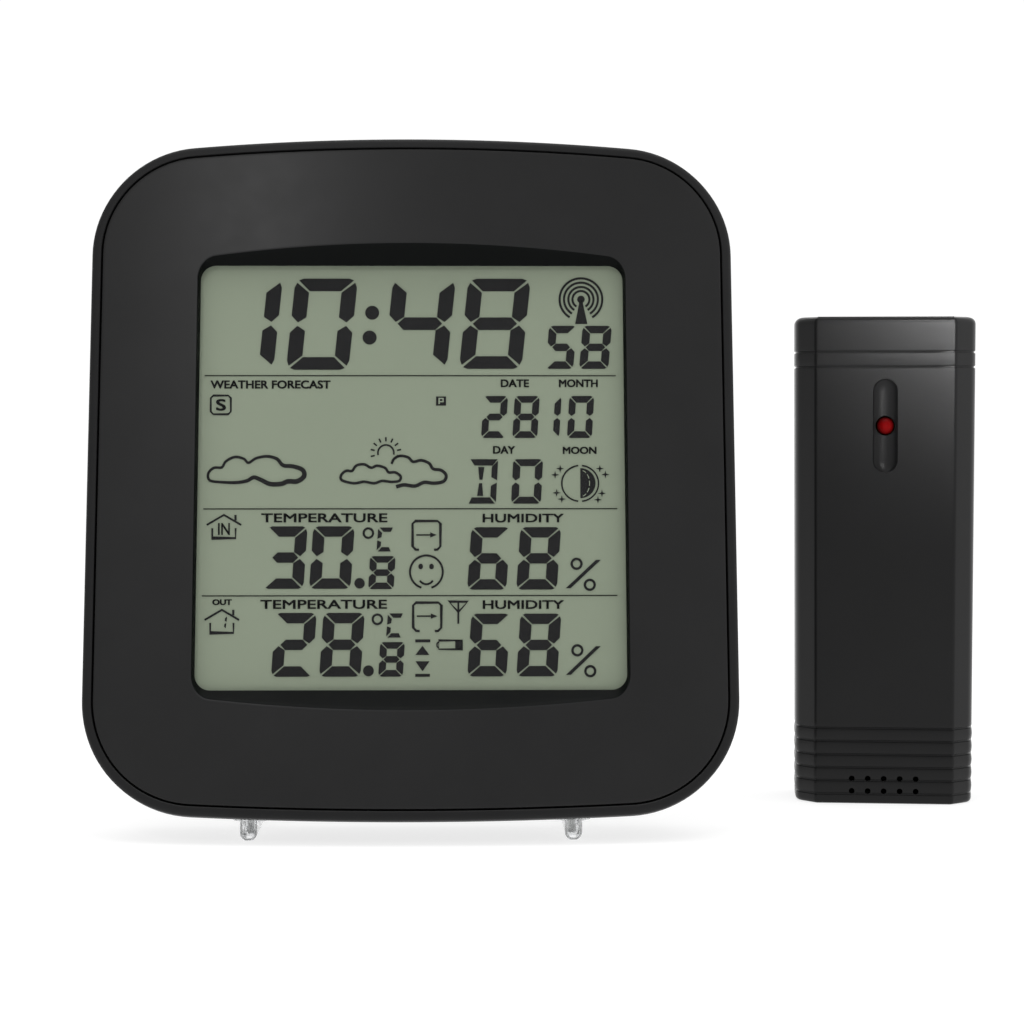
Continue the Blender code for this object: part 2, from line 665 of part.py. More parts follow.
bm = bmesh.new()
outline = []
rise = math.asin(2.3 / 4.0)
for step in range(17):
    angle = math.pi / 2 + rise + (2 * math.pi - 2 * rise) * step / 16
    outline.append((4.0 * math.cos(angle), 84.5 + 4.0 * math.sin(angle)))
for step in range(7):
    angle = math.pi * step / 6
    outline.append((2.3 * math.cos(angle), 91.5 + 2.3 * math.sin(angle)))
add_prism(bm, outline, SENSOR_D - 4, SENSOR_D + 2)
add_prism(bm, rounded(9.0, 3.6, 0.6, -5.0, 16.0, 2), SENSOR_D - 4, SENSOR_D + 2)
add_cyl(bm, 1.9, (8.0, SENSOR_D - 4, 16.0), (8.0, SENSOR_D + 2, 16.0), 16)
for z in (8.0, 96.0):
    x = 12.0 if z < 50 else -12.0
    add_cyl(bm, 1.3, (x, SENSOR_D - 4, z), (x, SENSOR_D + 2, z), 14)
openings = finish(bm, "cut_sensor_back_openings", None, outdoor, cutter=True)
boolean(rear_shell, openings)
bm = bmesh.new()
for x, z in ((12.0, 8.0), (-12.0, 96.0)):
    add_cyl(bm, 2.4, (x, SENSOR_D - 1.0, z), (x, SENSOR_D + 2, z), 18)
seats = finish(bm, "cut_sensor_screw_seats", None, outdoor, cutter=True)
boolean(rear_shell, seats)
for (x, z), word in (((12.0, 8.0), "lower"), ((-12.0, 96.0), "upper")):
    lathe(
        "sensor_screw_" + word,
        STEEL,
        [(2.1, -0.15), (2.1, -0.7), (1.0, -0.8), (1.0, -9.0)],
        outdoor,
        (x, SENSOR_D, z),
        18,
        "Y",
    )

sensor_door = plate(
    "sensor_battery_door",
    CASE_BLACK,
    2 * TRAY_X - 0.8,
    TRAY_Z1 - TRAY_Z0 - 0.8,
    0.8,
    SENSOR_D - 1.5,
    SENSOR_D,
    outdoor,
    0,
    (TRAY_Z0 + TRAY_Z1) / 2,
    2,
)

box("sensor_board", BOARD_GREEN, (-13.0, 5.2, 9.0), (13.0, 6.4, 92.0), outdoor)
lathe(
    "sensor_led",
    LED_RED,
    [(0.6, -0.35), (1.2, -0.1), (1.6, 0.35), (1.8, 0.9), (1.8, 4.9)],
    outdoor,
    (0, 0, LED_Z),
    20,
    "Y",
)
box("sensor_humidity_element", WHITE_PLASTIC, (-4.5, 3.3, 10.0), (4.5, 4.9, 16.0), outdoor, bevel=0.25)
box("sensor_controller_chip", CHIP_BLACK, (-4.0, 3.7, 58.0), (4.0, 4.9, 66.0), outdoor)
box("sensor_transmitter", STEEL, (-10.0, 3.2, 40.0), (2.0, 4.9, 54.0), outdoor)
coil("sensor_antenna", COPPER, outdoor, (7.0, 3.5, 30.0), (0, 0, 1), 1.0, 1.0, 22.0, 6.0, 0.3, 8)

for side, word, flip in ((-1, "right", 1), (1, "left", -1)):
    half = AAA_L / 2
    lathe(
        "aaa_cell_" + word,
        CELL,
        [
            (1.9, flip * half),
            (1.9, flip * (half - 0.9)),
            (AAA_D / 2 - 0.4, flip * (half - 0.9)),
            (AAA_D / 2, flip * (half - 1.4)),
            (AAA_D / 2, flip * (-half + 0.5)),
            (AAA_D / 2 - 0.5, flip * -half),
        ],
        outdoor,
        (side * AAA_X, AAA_Y, AAA_Z),
        24,
    )
    coil(
        "aaa_spring_" + word,
        STEEL,
        outdoor,
        (side * AAA_X, AAA_Y, AAA_Z - flip * (AAA_L / 2 + 3.1)),
        (0, 0, flip),
        3.3,
        2.0,
        2.8,
        2.5,
        0.3,
    )
    z = AAA_Z + flip * (AAA_L / 2 + 2.9)
    box(
        "aaa_contact_plate_" + word,
        STEEL,
        (side * AAA_X - 3.5, AAA_Y - 3.5, z - 0.15),
        (side * AAA_X + 3.5, AAA_Y + 3.5, z + 0.15),
        outdoor,
    )

bm = bmesh.new()
add_prism(bm, rounded(3.2, 3.0, 0.4, -5.0, 16.0, 2), SENSOR_D - 5.0, SENSOR_D - 0.2)
finish(bm, "channel_switch_knob", WHITE_PLASTIC, outdoor, (-5.0, SENSOR_D, 16.0))
lathe(
    "sensor_reset_button",
    RUBBER,
    [(1.3, -0.4), (1.6, -0.7), (1.6, -6.0)],
    outdoor,
    (8.0, SENSOR_D, 16.0),
    18,
    "Y",
)
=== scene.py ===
import json
import math

import bmesh
import bpy
from mathutils import Matrix, Vector

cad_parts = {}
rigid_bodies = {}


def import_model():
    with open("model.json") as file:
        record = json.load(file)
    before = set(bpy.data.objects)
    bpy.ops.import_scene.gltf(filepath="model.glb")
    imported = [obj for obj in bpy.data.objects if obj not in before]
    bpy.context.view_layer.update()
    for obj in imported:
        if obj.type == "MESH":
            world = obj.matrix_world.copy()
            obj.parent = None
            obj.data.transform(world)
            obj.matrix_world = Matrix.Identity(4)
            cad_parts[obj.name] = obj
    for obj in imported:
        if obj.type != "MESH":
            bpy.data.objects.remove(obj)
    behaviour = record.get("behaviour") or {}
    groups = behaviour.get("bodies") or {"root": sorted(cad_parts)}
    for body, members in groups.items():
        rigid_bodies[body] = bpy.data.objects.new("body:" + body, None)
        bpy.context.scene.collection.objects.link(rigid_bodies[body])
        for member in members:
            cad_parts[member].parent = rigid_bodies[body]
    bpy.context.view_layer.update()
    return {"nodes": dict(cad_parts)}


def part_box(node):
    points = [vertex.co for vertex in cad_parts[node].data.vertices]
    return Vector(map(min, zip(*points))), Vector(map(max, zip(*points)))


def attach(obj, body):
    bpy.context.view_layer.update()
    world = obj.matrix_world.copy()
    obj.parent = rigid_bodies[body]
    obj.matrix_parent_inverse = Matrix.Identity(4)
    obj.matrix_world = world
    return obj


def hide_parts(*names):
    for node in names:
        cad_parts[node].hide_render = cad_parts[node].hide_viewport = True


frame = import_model()

MM = 0.001
NODES = frame["nodes"]

# The console's own frame, in millimetres: x to the right, y into the panel, z up it. It leans back about its lower front edge.
LEAN = math.radians(13.0)
MIDDLE = Vector((-27.77, -40.0, 0.0))
TILT = Matrix.Translation(MIDDLE + Vector((0, 0, 4.9))) @ Matrix.Rotation(-LEAN, 4, "X")
SENSOR = Matrix.Translation(MIDDLE + Vector((97.5, 56.0, 0.0))) @ Matrix.Rotation(math.radians(-7.0), 4, "Z")
GROUND = Matrix.Translation(MIDDLE)

CASE_W, CASE_H, CASE_D = 126.0, 134.0, 28.0
CORNER_R, LOW_CORNER_R, TOP_ARCH_R, BOTTOM_ARCH_R = 21.0, 22.5, 900.0, 700.0
FACE_R = 353.0
WINDOW_W, WINDOW_H, WINDOW_Z, WINDOW_R = 82.6, 83.8, 67.1, 3.0
LCD_Y = 3.62
BUTTON_X = (-35.0, -21.0, -7.0, 7.0, 21.0, 35.0)
BUTTON_NAMES = ("channel", "alert", "memory", "down", "up", "mode")
BUTTON_Z = 96.0
SCREWS = ((-49.0, 28.0), (49.0, 28.0), (-49.0, 106.0), (49.0, 106.0))

# ------------------------------------------------------------------ materials


def nodes_of(name):
    made = bpy.data.materials.new(name)
    made.use_nodes = True
    tree = made.node_tree
    return made, tree, tree.nodes["Principled BSDF"]


def noise(tree, scale, detail=3.0, rough=0.5, stretch=None):
    place = tree.nodes.new("ShaderNodeTexCoord")
    grain = tree.nodes.new("ShaderNodeTexNoise")
    grain.inputs["Scale"].default_value = scale
    grain.inputs["Detail"].default_value = detail
    grain.inputs["Roughness"].default_value = rough
    if stretch:
        mapping = tree.nodes.new("ShaderNodeMapping")
        mapping.inputs["Scale"].default_value = stretch
        tree.links.new(place.outputs["Object"], mapping.inputs["Vector"])
        tree.links.new(mapping.outputs["Vector"], grain.inputs["Vector"])
    else:
        tree.links.new(place.outputs["Object"], grain.inputs["Vector"])
    return grain.outputs["Fac"]


def ramp(tree, fac, low, high, start=0.3, end=0.7):
    made = tree.nodes.new("ShaderNodeValToRGB")
    made.color_ramp.elements[0].position = start
    made.color_ramp.elements[1].position = end
    made.color_ramp.elements[0].color = (*low, 1.0)
    made.color_ramp.elements[1].color = (*high, 1.0)
    tree.links.new(fac, made.inputs["Fac"])
    return made.outputs["Color"]


def spread(tree, fac, low, high):
    made = tree.nodes.new("ShaderNodeMapRange")
    made.inputs["To Min"].default_value = low
    made.inputs["To Max"].default_value = high
    tree.links.new(fac, made.inputs["Value"])
    return made.outputs["Result"]


def bump(tree, shader, fac, strength, distance):
    made = tree.nodes.new("ShaderNodeBump")
    made.inputs["Strength"].default_value = strength
    made.inputs["Distance"].default_value = distance
    tree.links.new(fac, made.inputs["Height"])
    tree.links.new(made.outputs["Normal"], shader.inputs["Normal"])


def plastic(name, low, high, rough=(0.36, 0.44), specular=0.3, grain=0.05, fine=3600.0, ior=1.34):
    """Moulded plastic: a little cloudiness in its colour, and the fine spark-eroded grain of the mould."""
    made, tree, shader = nodes_of(name)
    cloud = noise(tree, 55.0, 4.0, 0.55)
    tree.links.new(ramp(tree, cloud, low, high), shader.inputs["Base Color"])
    patch = noise(tree, 240.0, 3.0)
    tree.links.new(spread(tree, patch, *rough), shader.inputs["Roughness"])
    bump(tree, shader, noise(tree, fine, 2.0, 0.6), grain, 0.00006)
    shader.inputs["Specular IOR Level"].default_value = specular
    shader.inputs["IOR"].default_value = ior
    return made


def metal(name, low, high, rough=(0.2, 0.34), stretch=(1, 1, 1), scale=900.0):
    made, tree, shader = nodes_of(name)
    shader.inputs["Metallic"].default_value = 1.0
    tree.links.new(ramp(tree, noise(tree, 300.0, 3.0), low, high), shader.inputs["Base Color"])
    streak = noise(tree, scale, 4.0, 0.6, stretch)
    tree.links.new(spread(tree, streak, *rough), shader.inputs["Roughness"])
    bump(tree, shader, streak, 0.06, 0.00003)
    return made


CASE = plastic("case_black_satin", (0.0152, 0.0152, 0.0154), (0.0176, 0.0176, 0.0178), (0.31, 0.37), 0.5, 0.04, ior=1.30)
BACK = plastic("case_black_back", (0.0105, 0.0105, 0.0108), (0.0135, 0.0135, 0.0139), (0.46, 0.56), 0.5, 0.20, 2600.0, ior=1.27)
# The sloping wall of the display opening gets a black far darker than the face: painted shade of the recess.
REVEAL_PAINTED_SHADE = plastic("reveal_black", (0.0019, 0.0025, 0.0023), (0.0026, 0.0033, 0.0031), (0.34, 0.42), 0.3, 0.03, ior=1.20)
SENSOR_SKIN = plastic("sensor_black_satin", (0.0086, 0.0086, 0.0088), (0.0102, 0.0102, 0.0104), (0.28, 0.33), 0.5, 0.04, ior=1.27)
BUTTON = plastic("button_black", (0.020, 0.020, 0.021), (0.028, 0.028, 0.029), (0.50, 0.62), 0.30, 0.12)
SEGMENT = plastic("lcd_segment", (0.0225, 0.0225, 0.0232), (0.0255, 0.0255, 0.0262), (0.45, 0.55), 0.0, 0.0)
LINE = plastic("lcd_line", (0.022, 0.024, 0.021), (0.028, 0.030, 0.026), (0.45, 0.55), 0.0, 0.0)
WHITE = plastic("white_moulding", (0.66, 0.66, 0.62), (0.76, 0.76, 0.73), (0.40, 0.50), 0.4, 0.06)
RUBBER = plastic("grey_rubber_skin", (0.13, 0.13, 0.13), (0.18, 0.18, 0.18), (0.70, 0.85), 0.2, 0.2)
CHIP = plastic("chip_epoxy", (0.012, 0.012, 0.013), (0.022, 0.022, 0.023), (0.5, 0.65), 0.3, 0.2)
FERRITE = plastic("ferrite_ground", (0.035, 0.033, 0.033), (0.055, 0.052, 0.052), (0.5, 0.65), 0.4, 0.2)
STEEL = metal("plated_steel_bright", (0.55, 0.55, 0.54), (0.68, 0.68, 0.66))
COPPER = metal("enamelled_copper", (0.62, 0.28, 0.12), (0.78, 0.40, 0.20), (0.24, 0.36))
FOIL = metal("silver_foil_satin", (0.66, 0.67, 0.66), (0.74, 0.75, 0.74), (0.32, 0.42))


def lcd_material():
    """Grey-green twisted-nematic display: nearly even, with the faint mottling of the reflector behind it, and a faint
    painted glow that brightens it evenly.
    """
    made, tree, shader = nodes_of("lcd_grey_green")
    cloud = noise(tree, 26.0, 3.0, 0.5)
    tree.links.new(ramp(tree, cloud, (0.276, 0.320, 0.236), (0.290, 0.335, 0.248), 0.25, 0.75), shader.inputs["Base Color"])
    # Painted light: the display glows faintly though it is no lamp, an even painted glow over its colour.
    shader.inputs["Emission Color"].default_value = (0.84, 0.95, 0.76, 1.0)
    shader.inputs["Emission Strength"].default_value = 0.024
    tree.links.new(spread(tree, noise(tree, 6500.0, 2.0), 0.42, 0.56), shader.inputs["Roughness"])
    bump(tree, shader, noise(tree, 9000.0, 2.0), 0.03, 0.00002)
    shader.inputs["Specular IOR Level"].default_value = 0.15
    return made


def clear_window():
    made, tree, shader = nodes_of("clear_window_sheet")
    tree.links.new(ramp(tree, noise(tree, 40.0), (0.016, 0.018, 0.016), (0.022, 0.024, 0.022)), shader.inputs["Base Color"])
    tree.links.new(spread(tree, noise(tree, 120.0), 0.05, 0.09), shader.inputs["Roughness"])
    shader.inputs["Alpha"].default_value = 0.04
    shader.inputs["Specular IOR Level"].default_value = 0.5
    return made


def clear_plastic():
    """Clear polystyrene feet: slightly grey in the mass, with faint flow lines."""
    made, tree, shader = nodes_of("clear_foot_plastic")
    tree.links.new(ramp(tree, noise(tree, 160.0), (0.84, 0.85, 0.86), (0.92, 0.93, 0.93)), shader.inputs["Base Color"])
    tree.links.new(spread(tree, noise(tree, 420.0), 0.06, 0.14), shader.inputs["Roughness"])
    bump(tree, shader, noise(tree, 500.0, 2.0, 0.5, (1, 0.15, 1)), 0.10, 0.00008)
    shader.inputs["Transmission Weight"].default_value = 0.86
    shader.inputs["IOR"].default_value = 1.49
    return made


def led_material():
    """Red dyed epoxy, with painted light in its colour: a painted highlight bright in the middle, fading to painted
    shade dark at its rim.
    """
    made, tree, shader = nodes_of("led_red_epoxy")
    place = tree.nodes.new("ShaderNodeTexCoord")
    shift = tree.nodes.new("ShaderNodeMapping")
    centre = SENSOR @ Vector((0.1, 0.3, 78.6))
    shift.inputs["Location"].default_value = -centre * MM
    shift.vector_type = "POINT"
    length = tree.nodes.new("ShaderNodeVectorMath")
    length.operation = "LENGTH"
    tree.links.new(place.outputs["Object"], shift.inputs["Vector"])
    tree.links.new(shift.outputs["Vector"], length.inputs[0])
    reach = tree.nodes.new("ShaderNodeMapRange")
    reach.inputs["From Min"].default_value = 0.0002
    reach.inputs["From Max"].default_value = 0.0019
    tree.links.new(length.outputs["Value"], reach.inputs["Value"])
    # Painted light: the base colour runs from a painted highlight at the dome's middle to painted shade at its rim.
    tree.links.new(ramp(tree, reach.outputs["Result"], (0.290, 0.0024, 0.0030), (0.024, 0.0007, 0.0009), 0.0, 1.0), shader.inputs["Base Color"])
    tree.links.new(spread(tree, noise(tree, 900.0), 0.16, 0.24), shader.inputs["Roughness"])
    shader.inputs["Specular IOR Level"].default_value = 0.20
    shader.inputs["IOR"].default_value = 1.20
    return made


def board_material():
    """Green solder mask with the slightly raised tracks under it."""
    made, tree, shader = nodes_of("solder_mask")
    place = tree.nodes.new("ShaderNodeTexCoord")
    bricks = tree.nodes.new("ShaderNodeTexBrick")
    bricks.inputs["Scale"].default_value = 260.0
    bricks.inputs["Color1"].default_value = (0.010, 0.120, 0.045, 1)
    bricks.inputs["Color2"].default_value = (0.012, 0.150, 0.055, 1)
    bricks.inputs["Mortar"].default_value = (0.030, 0.240, 0.090, 1)
    mapping = tree.nodes.new("ShaderNodeMapping")
    mapping.inputs["Rotation"].default_value = (math.pi / 2, 0, 0)
    tree.links.new(place.outputs["Object"], mapping.inputs["Vector"])
    tree.links.new(mapping.outputs["Vector"], bricks.inputs["Vector"])
    tree.links.new(bricks.outputs["Color"], shader.inputs["Base Color"])
    tree.links.new(spread(tree, noise(tree, 500.0), 0.28, 0.42), shader.inputs["Roughness"])
    bump(tree, shader, bricks.outputs["Fac"], 0.2, 0.00005)
    return made


def cell_material(axis, name, band):
    """A plain cell sleeve: dark blue with a wide grey band near its positive end."""
    made, tree, shader = nodes_of(name)
    place = tree.nodes.new("ShaderNodeTexCoord")
    split = tree.nodes.new("ShaderNodeSeparateXYZ")
    tree.links.new(place.outputs["Object"], split.inputs["Vector"])
    mask = tree.nodes.new("ShaderNodeMapRange")
    mask.inputs["From Min"].default_value = band[0]
    mask.inputs["From Max"].default_value = band[1]
    tree.links.new(split.outputs[axis], mask.inputs["Value"])
    tree.links.new(ramp(tree, mask.outputs["Result"], (0.030, 0.085, 0.170), (0.42, 0.43, 0.44), 0.49, 0.51), shader.inputs["Base Color"])
    tree.links.new(spread(tree, noise(tree, 300.0), 0.24, 0.36), shader.inputs["Roughness"])
    bump(tree, shader, noise(tree, 1500.0), 0.04, 0.00004)
    return made


LCD = lcd_material()
WINDOW = clear_window()
CLEAR = clear_plastic()
LED = led_material()
BOARD = board_material()

# ------------------------------------------------------------------ mesh helpers


def build(bm, name, skin, matrix, body, replaces=(), sharp=32.0, keep_normals=False, weighted=True):
    """Turns millimetre geometry in a local frame into a piece, with its place baked in, riding on a body."""
    if not keep_normals:
        bmesh.ops.recalc_face_normals(bm, faces=bm.faces)
    bmesh.ops.transform(bm, matrix=Matrix.Scale(MM, 4) @ matrix, verts=bm.verts)
    mesh = bpy.data.meshes.new(name)
    bm.to_mesh(mesh)
    bm.free()
    obj = bpy.data.objects.new(name, mesh)
    bpy.context.scene.collection.objects.link(obj)
    skins = skin if isinstance(skin, (list, tuple)) else (skin,)
    for one in skins:
        mesh.materials.append(one)
    mesh.shade_smooth()
    mesh.set_sharp_from_angle(angle=math.radians(sharp))
    obj["weighted"] = weighted
    obj["sharp"] = sharp
    if body:
        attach(obj, body)
    if replaces:
        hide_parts(*replaces)
    return obj


def bake(obj, cutters=(), bevel=0.0, segments=2, limit=40.0):
    """Cuts the piece with the cutters, rounds its edges, and keeps the result as its mesh."""
    for index, (cutter, operation) in enumerate(cutters):
        made = obj.modifiers.new("cut%d" % index, "BOOLEAN")
        made.operation = operation
        made.solver = "EXACT"
        made.object = cutter
    if bevel:
        made = obj.modifiers.new("edge", "BEVEL")
        made.width = bevel * MM
        made.segments = segments
        made.limit_method = "ANGLE"
        made.angle_limit = math.radians(limit)
        made.harden_normals = False
        made.miter_outer = "MITER_ARC"
    graph = bpy.context.evaluated_depsgraph_get()
    graph.update()
    mesh = bpy.data.meshes.new_from_object(obj.evaluated_get(graph), depsgraph=graph)
    obj.modifiers.clear()
    old = obj.data
    skins = list(old.materials)
    obj.data = mesh
    mesh.materials.clear()
    for one in skins:
        mesh.materials.append(one)
    bpy.data.meshes.remove(old)
    mesh.shade_smooth()
    mesh.set_sharp_from_angle(angle=math.radians(obj["sharp"]))
    for cutter, _ in cutters:
        data = cutter.data
        bpy.data.objects.remove(cutter, do_unlink=True)
        bpy.data.meshes.remove(data)
    return obj


def weigh(obj):
    made = obj.modifiers.new("weigh", "WEIGHTED_NORMAL")
    made.keep_sharp = True
    made.weight = 60


def cutter(bm, name, matrix):
    bmesh.ops.recalc_face_normals(bm, faces=bm.faces)
    bmesh.ops.transform(bm, matrix=Matrix.Scale(MM, 4) @ matrix, verts=bm.verts)
    mesh = bpy.data.meshes.new(name)
    bm.to_mesh(mesh)
    bm.free()
    obj = bpy.data.objects.new(name, mesh)
    bpy.context.scene.collection.objects.link(obj)
    return obj


def loft(bm, loops, ends=(True, True), wrap=True, skin=0):
    rings = [[bm.verts.new(point) for point in loop] for loop in loops]
    count = len(rings[0])
    for one, two in zip(rings, rings[1:]):
        for index in range(count if wrap else count - 1):
            after = (index + 1) % count
            bm.faces.new((one[index], one[after], two[after], two[index])).material_index = skin
    if ends[0]:
        bm.faces.new(rings[0])
    if ends[1]:
        bm.faces.new(rings[-1])
    return rings


def rounded(w, h, r, cx=0.0, cz=0.0, steps=8):
    points = []
    for sx, sz, first in ((1, 1, 0), (-1, 1, 90), (-1, -1, 180), (1, -1, 270)):
        for step in range(steps + 1):
            angle = math.radians(first + 90 * step / steps)
            points.append((cx + sx * (w / 2 - r) + r * math.cos(angle), cz + sz * (h / 2 - r) + r * math.sin(angle)))
    return points


def prism(bm, outline, y0, y1, skin=0):
    return loft(bm, [[(x, y0, z) for x, z in outline], [(x, y1, z) for x, z in outline]], skin=skin)


def add_box(bm, lo, hi):
    lo, hi = Vector(lo), Vector(hi)
    made = bmesh.ops.create_cube(bm, size=1.0)["verts"]
    bmesh.ops.scale(bm, verts=made, vec=hi - lo)
    bmesh.ops.translate(bm, verts=made, vec=(lo + hi) / 2)


def add_cyl(bm, radius, start, end, segments=40, radius_end=None):
    start, end = Vector(start), Vector(end)
    along = end - start
    turn = Vector((0, 0, 1)).rotation_difference(along).to_matrix().to_4x4()
    bmesh.ops.create_cone(
        bm,
        cap_ends=True,
        segments=segments,
        radius1=radius,
        radius2=radius if radius_end is None else radius_end,
        depth=along.length,
        matrix=Matrix.Translation((start + end) / 2) @ turn,
    )


def turned(bm, profile, place, axis="Y", steps=40):
    """A turned shape from (radius, height) points, on an axis through place."""
    loops = []
    for radius, height in profile:
        loop = []
        for step in range(steps):
            angle = 2 * math.pi * step / steps
            x, y = radius * math.cos(angle), radius * math.sin(angle)
            point = {"Z": (x, y, height), "Y": (x, height, -y), "X": (height, x, y)}[axis]
            loop.append(Vector(point) + Vector(place))
        loops.append(loop)
    return loft(bm, loops)


# ------------------------------------------------------------------ console outline


def face_y(x):
    return FACE_R - math.sqrt(FACE_R * FACE_R - x * x)


def outline_point(turn, inset):
    """A point of the console's outline. turn runs 0 to 8: two to each corner and two to each edge, from the right-hand edge's top."""
    turn %= 8.0
    quarter, part = int(turn // 2), turn % 2.0
    # quarters: 0 upper right, 1 upper left, 2 lower left, 3 lower right
    top = quarter in (0, 1)
    arch, corner = (TOP_ARCH_R, CORNER_R) if top else (BOTTOM_ARCH_R, LOW_CORNER_R)
    reach, radius = CASE_W / 2 - corner, corner - inset
    lift = math.sqrt((arch - corner) ** 2 - reach * reach) - arch
    limit = math.acos(reach / (arch - corner))
    if quarter in (1, 3):
        part = 2.0 - part
    # part 0..1 is the corner, 1..2 the half edge
    if part <= 1.0:
        angle = limit * part
        x, z = reach + radius * math.cos(angle), lift + radius * math.sin(angle)
    else:
        tangent = (arch - inset) * reach / (arch - corner)
        x = tangent * (2.0 - part)
        z = math.sqrt((arch - inset) ** 2 - x * x) - arch
    if quarter in (1, 2):
        x = -x
    return (x, CASE_H + z) if top else (x, -z)


CORNER_STEPS, EDGE_STEPS, SIDE_STEPS = 22, 16, 24


def outline(inset):
    """The whole outline, counter-clockwise seen from the front, the straight sides divided too."""
    points = []

    def run(start, end, steps):
        for step in range(steps):
            points.append(outline_point(start + (end - start) * step / steps, inset))

    run(0.0, 1.0, CORNER_STEPS)
    run(1.0, 3.0, 2 * EDGE_STEPS)
    run(3.0, 4.0 - 1e-9, CORNER_STEPS)
    left_top, left_bottom = outline_point(4.0 - 1e-9, inset), outline_point(4.0, inset)
    for step in range(SIDE_STEPS):
        part = step / SIDE_STEPS
        points.append(tuple(a + (b - a) * part for a, b in zip(left_top, left_bottom)))
    run(4.0, 5.0, CORNER_STEPS)
    run(5.0, 7.0, 2 * EDGE_STEPS)
    run(7.0, 8.0 - 1e-9, CORNER_STEPS)
    right_bottom, right_top = outline_point(8.0 - 1e-9, inset), outline_point(0.0, inset)
    for step in range(SIDE_STEPS):
        part = step / SIDE_STEPS
        points.append(tuple(a + (b - a) * part for a, b in zip(right_bottom, right_top)))
    return points


def case_loop(inset, depth, follow=1.0):
    return [(x, depth + follow * face_y(x), z) for x, z in outline(inset)]


def window_outline(grow, w=WINDOW_W, h=WINDOW_H, r=WINDOW_R):
    """The display opening, with the same number of points as the case outline, so that the two can be joined."""
    w, h, r = w + 2 * grow, h + 2 * grow, max(r + grow, 0.2)
    points = []

    def arc(sx, sz, first, steps):
        for step in range(steps):
            angle = math.radians(first + 90 * step / steps)
            points.append((sx * (w / 2 - r) + r * math.cos(angle), WINDOW_Z + sz * (h / 2 - r) + r * math.sin(angle)))

    def line(a, b, steps):
        for step in range(steps):
            part = step / steps
            points.append((a[0] + (b[0] - a[0]) * part, WINDOW_Z + a[1] + (b[1] - a[1]) * part))

    arc(1, 1, 0, CORNER_STEPS)
    line((w / 2 - r, h / 2), (-w / 2 + r, h / 2), 2 * EDGE_STEPS)
    arc(-1, 1, 90, CORNER_STEPS)
    line((-w / 2, h / 2 - r), (-w / 2, -h / 2 + r), SIDE_STEPS)
    arc(-1, -1, 180, CORNER_STEPS)
    line((-w / 2 + r, -h / 2), (w / 2 - r, -h / 2), 2 * EDGE_STEPS)
    arc(1, -1, 270, CORNER_STEPS)
    line((w / 2, -h / 2 + r), (w / 2, h / 2 - r), SIDE_STEPS)
    return points


SLOPE_TOP, SLOPE_BOTTOM, SLOPE_SIDE = 0.98, 1.16, 0.42


def reveal_point(x, z, up):
    """Where the sloping wall of the display opening, rising from (x, z) at the display, meets the curved face; up 0..1 stops part way."""
    dz = z - WINDOW_Z
    cx = max(-WINDOW_W / 2 + WINDOW_R, min(WINDOW_W / 2 - WINDOW_R, x))
    cz = max(-WINDOW_H / 2 + WINDOW_R, min(WINDOW_H / 2 - WINDOW_R, dz))
    out = Vector((x - cx, dz - cz))
    out = out.normalized() if out.length > 1e-6 else Vector((0.0, 0.0))
    slope = SLOPE_SIDE * out.x * out.x + (SLOPE_TOP if out.y > 0 else SLOPE_BOTTOM) * out.y * out.y
    px, pz, depth = x, z, LCD_Y
    for _ in range(6):
        rise = (LCD_Y - face_y(px)) * up
        px, pz = x + out.x * slope * rise, z + out.y * slope * rise
        depth = LCD_Y - rise
    return px, depth, pz


# ------------------------------------------------------------------ front bezel

bm = bmesh.new()
at_lcd = window_outline(0.0)
edge = [reveal_point(x, z, 1.0) for x, z in at_lcd]
flat_edge = [(x, z) for x, _, z in edge]
outer = outline(2.20)


def between(a, b, part):
    return (a[0] + (b[0] - a[0]) * part, a[1] + (b[1] - a[1]) * part)


def face_loop(points):
    return [(x, face_y(x), z) for x, z in points]


loops = [
    [(x, face_y(x) + 3.0, z) for x, z in outer],
    [(x, face_y(x) + 0.34, z) for x, z in outer],
    [(x, face_y(x) + 0.12, z) for x, z in outline(2.27)],
    [(x, face_y(x) + 0.03, z) for x, z in outline(2.38)],
    face_loop(outline(2.56)),
    face_loop(outline(2.9)),
]
start = outline(2.9)
lip = []
for index, (x, z) in enumerate(at_lcd):
    px, py, pz = edge[index]
    away = Vector((px - x, pz - z))
    away = away.normalized() if away.length > 1e-6 else Vector((1.0 if x > 0 else -1.0, 0.0))
    lip.append(away)


def shifted(reach):
    return [(p[0] + a.x * reach, p[1] + a.y * reach) for p, a in zip(flat_edge, lip)]


for part in (0.10, 0.25, 0.42, 0.60, 0.78, 0.92):
    loops.append(face_loop([between(a, b, part) for a, b in zip(start, shifted(0.42))]))
loops.append(face_loop(shifted(0.42)))
loops.append(face_loop(shifted(0.24)))
loops.append([(x, face_y(x) + 0.035, z) for x, z in shifted(0.10)])
front_rings = loft(bm, loops, ends=(False, False))
reveal_loops = []
for up in (0.94, 0.80, 0.55, 0.30, 0.08, 0.0):
    reveal_loops.append([reveal_point(x, z, up) for x, z in at_lcd])
reveal_loops.append([(x, LCD_Y + 0.05, z) for x, z in at_lcd])
rings = [[bm.verts.new(p) for p in loop] for loop in reveal_loops]
chain = [front_rings[-1]] + rings
count = len(at_lcd)
for one, two in zip(chain, chain[1:]):
    for index in range(count):
        after = (index + 1) % count
        bm.faces.new((one[index], one[after], two[after], two[index])).material_index = 1
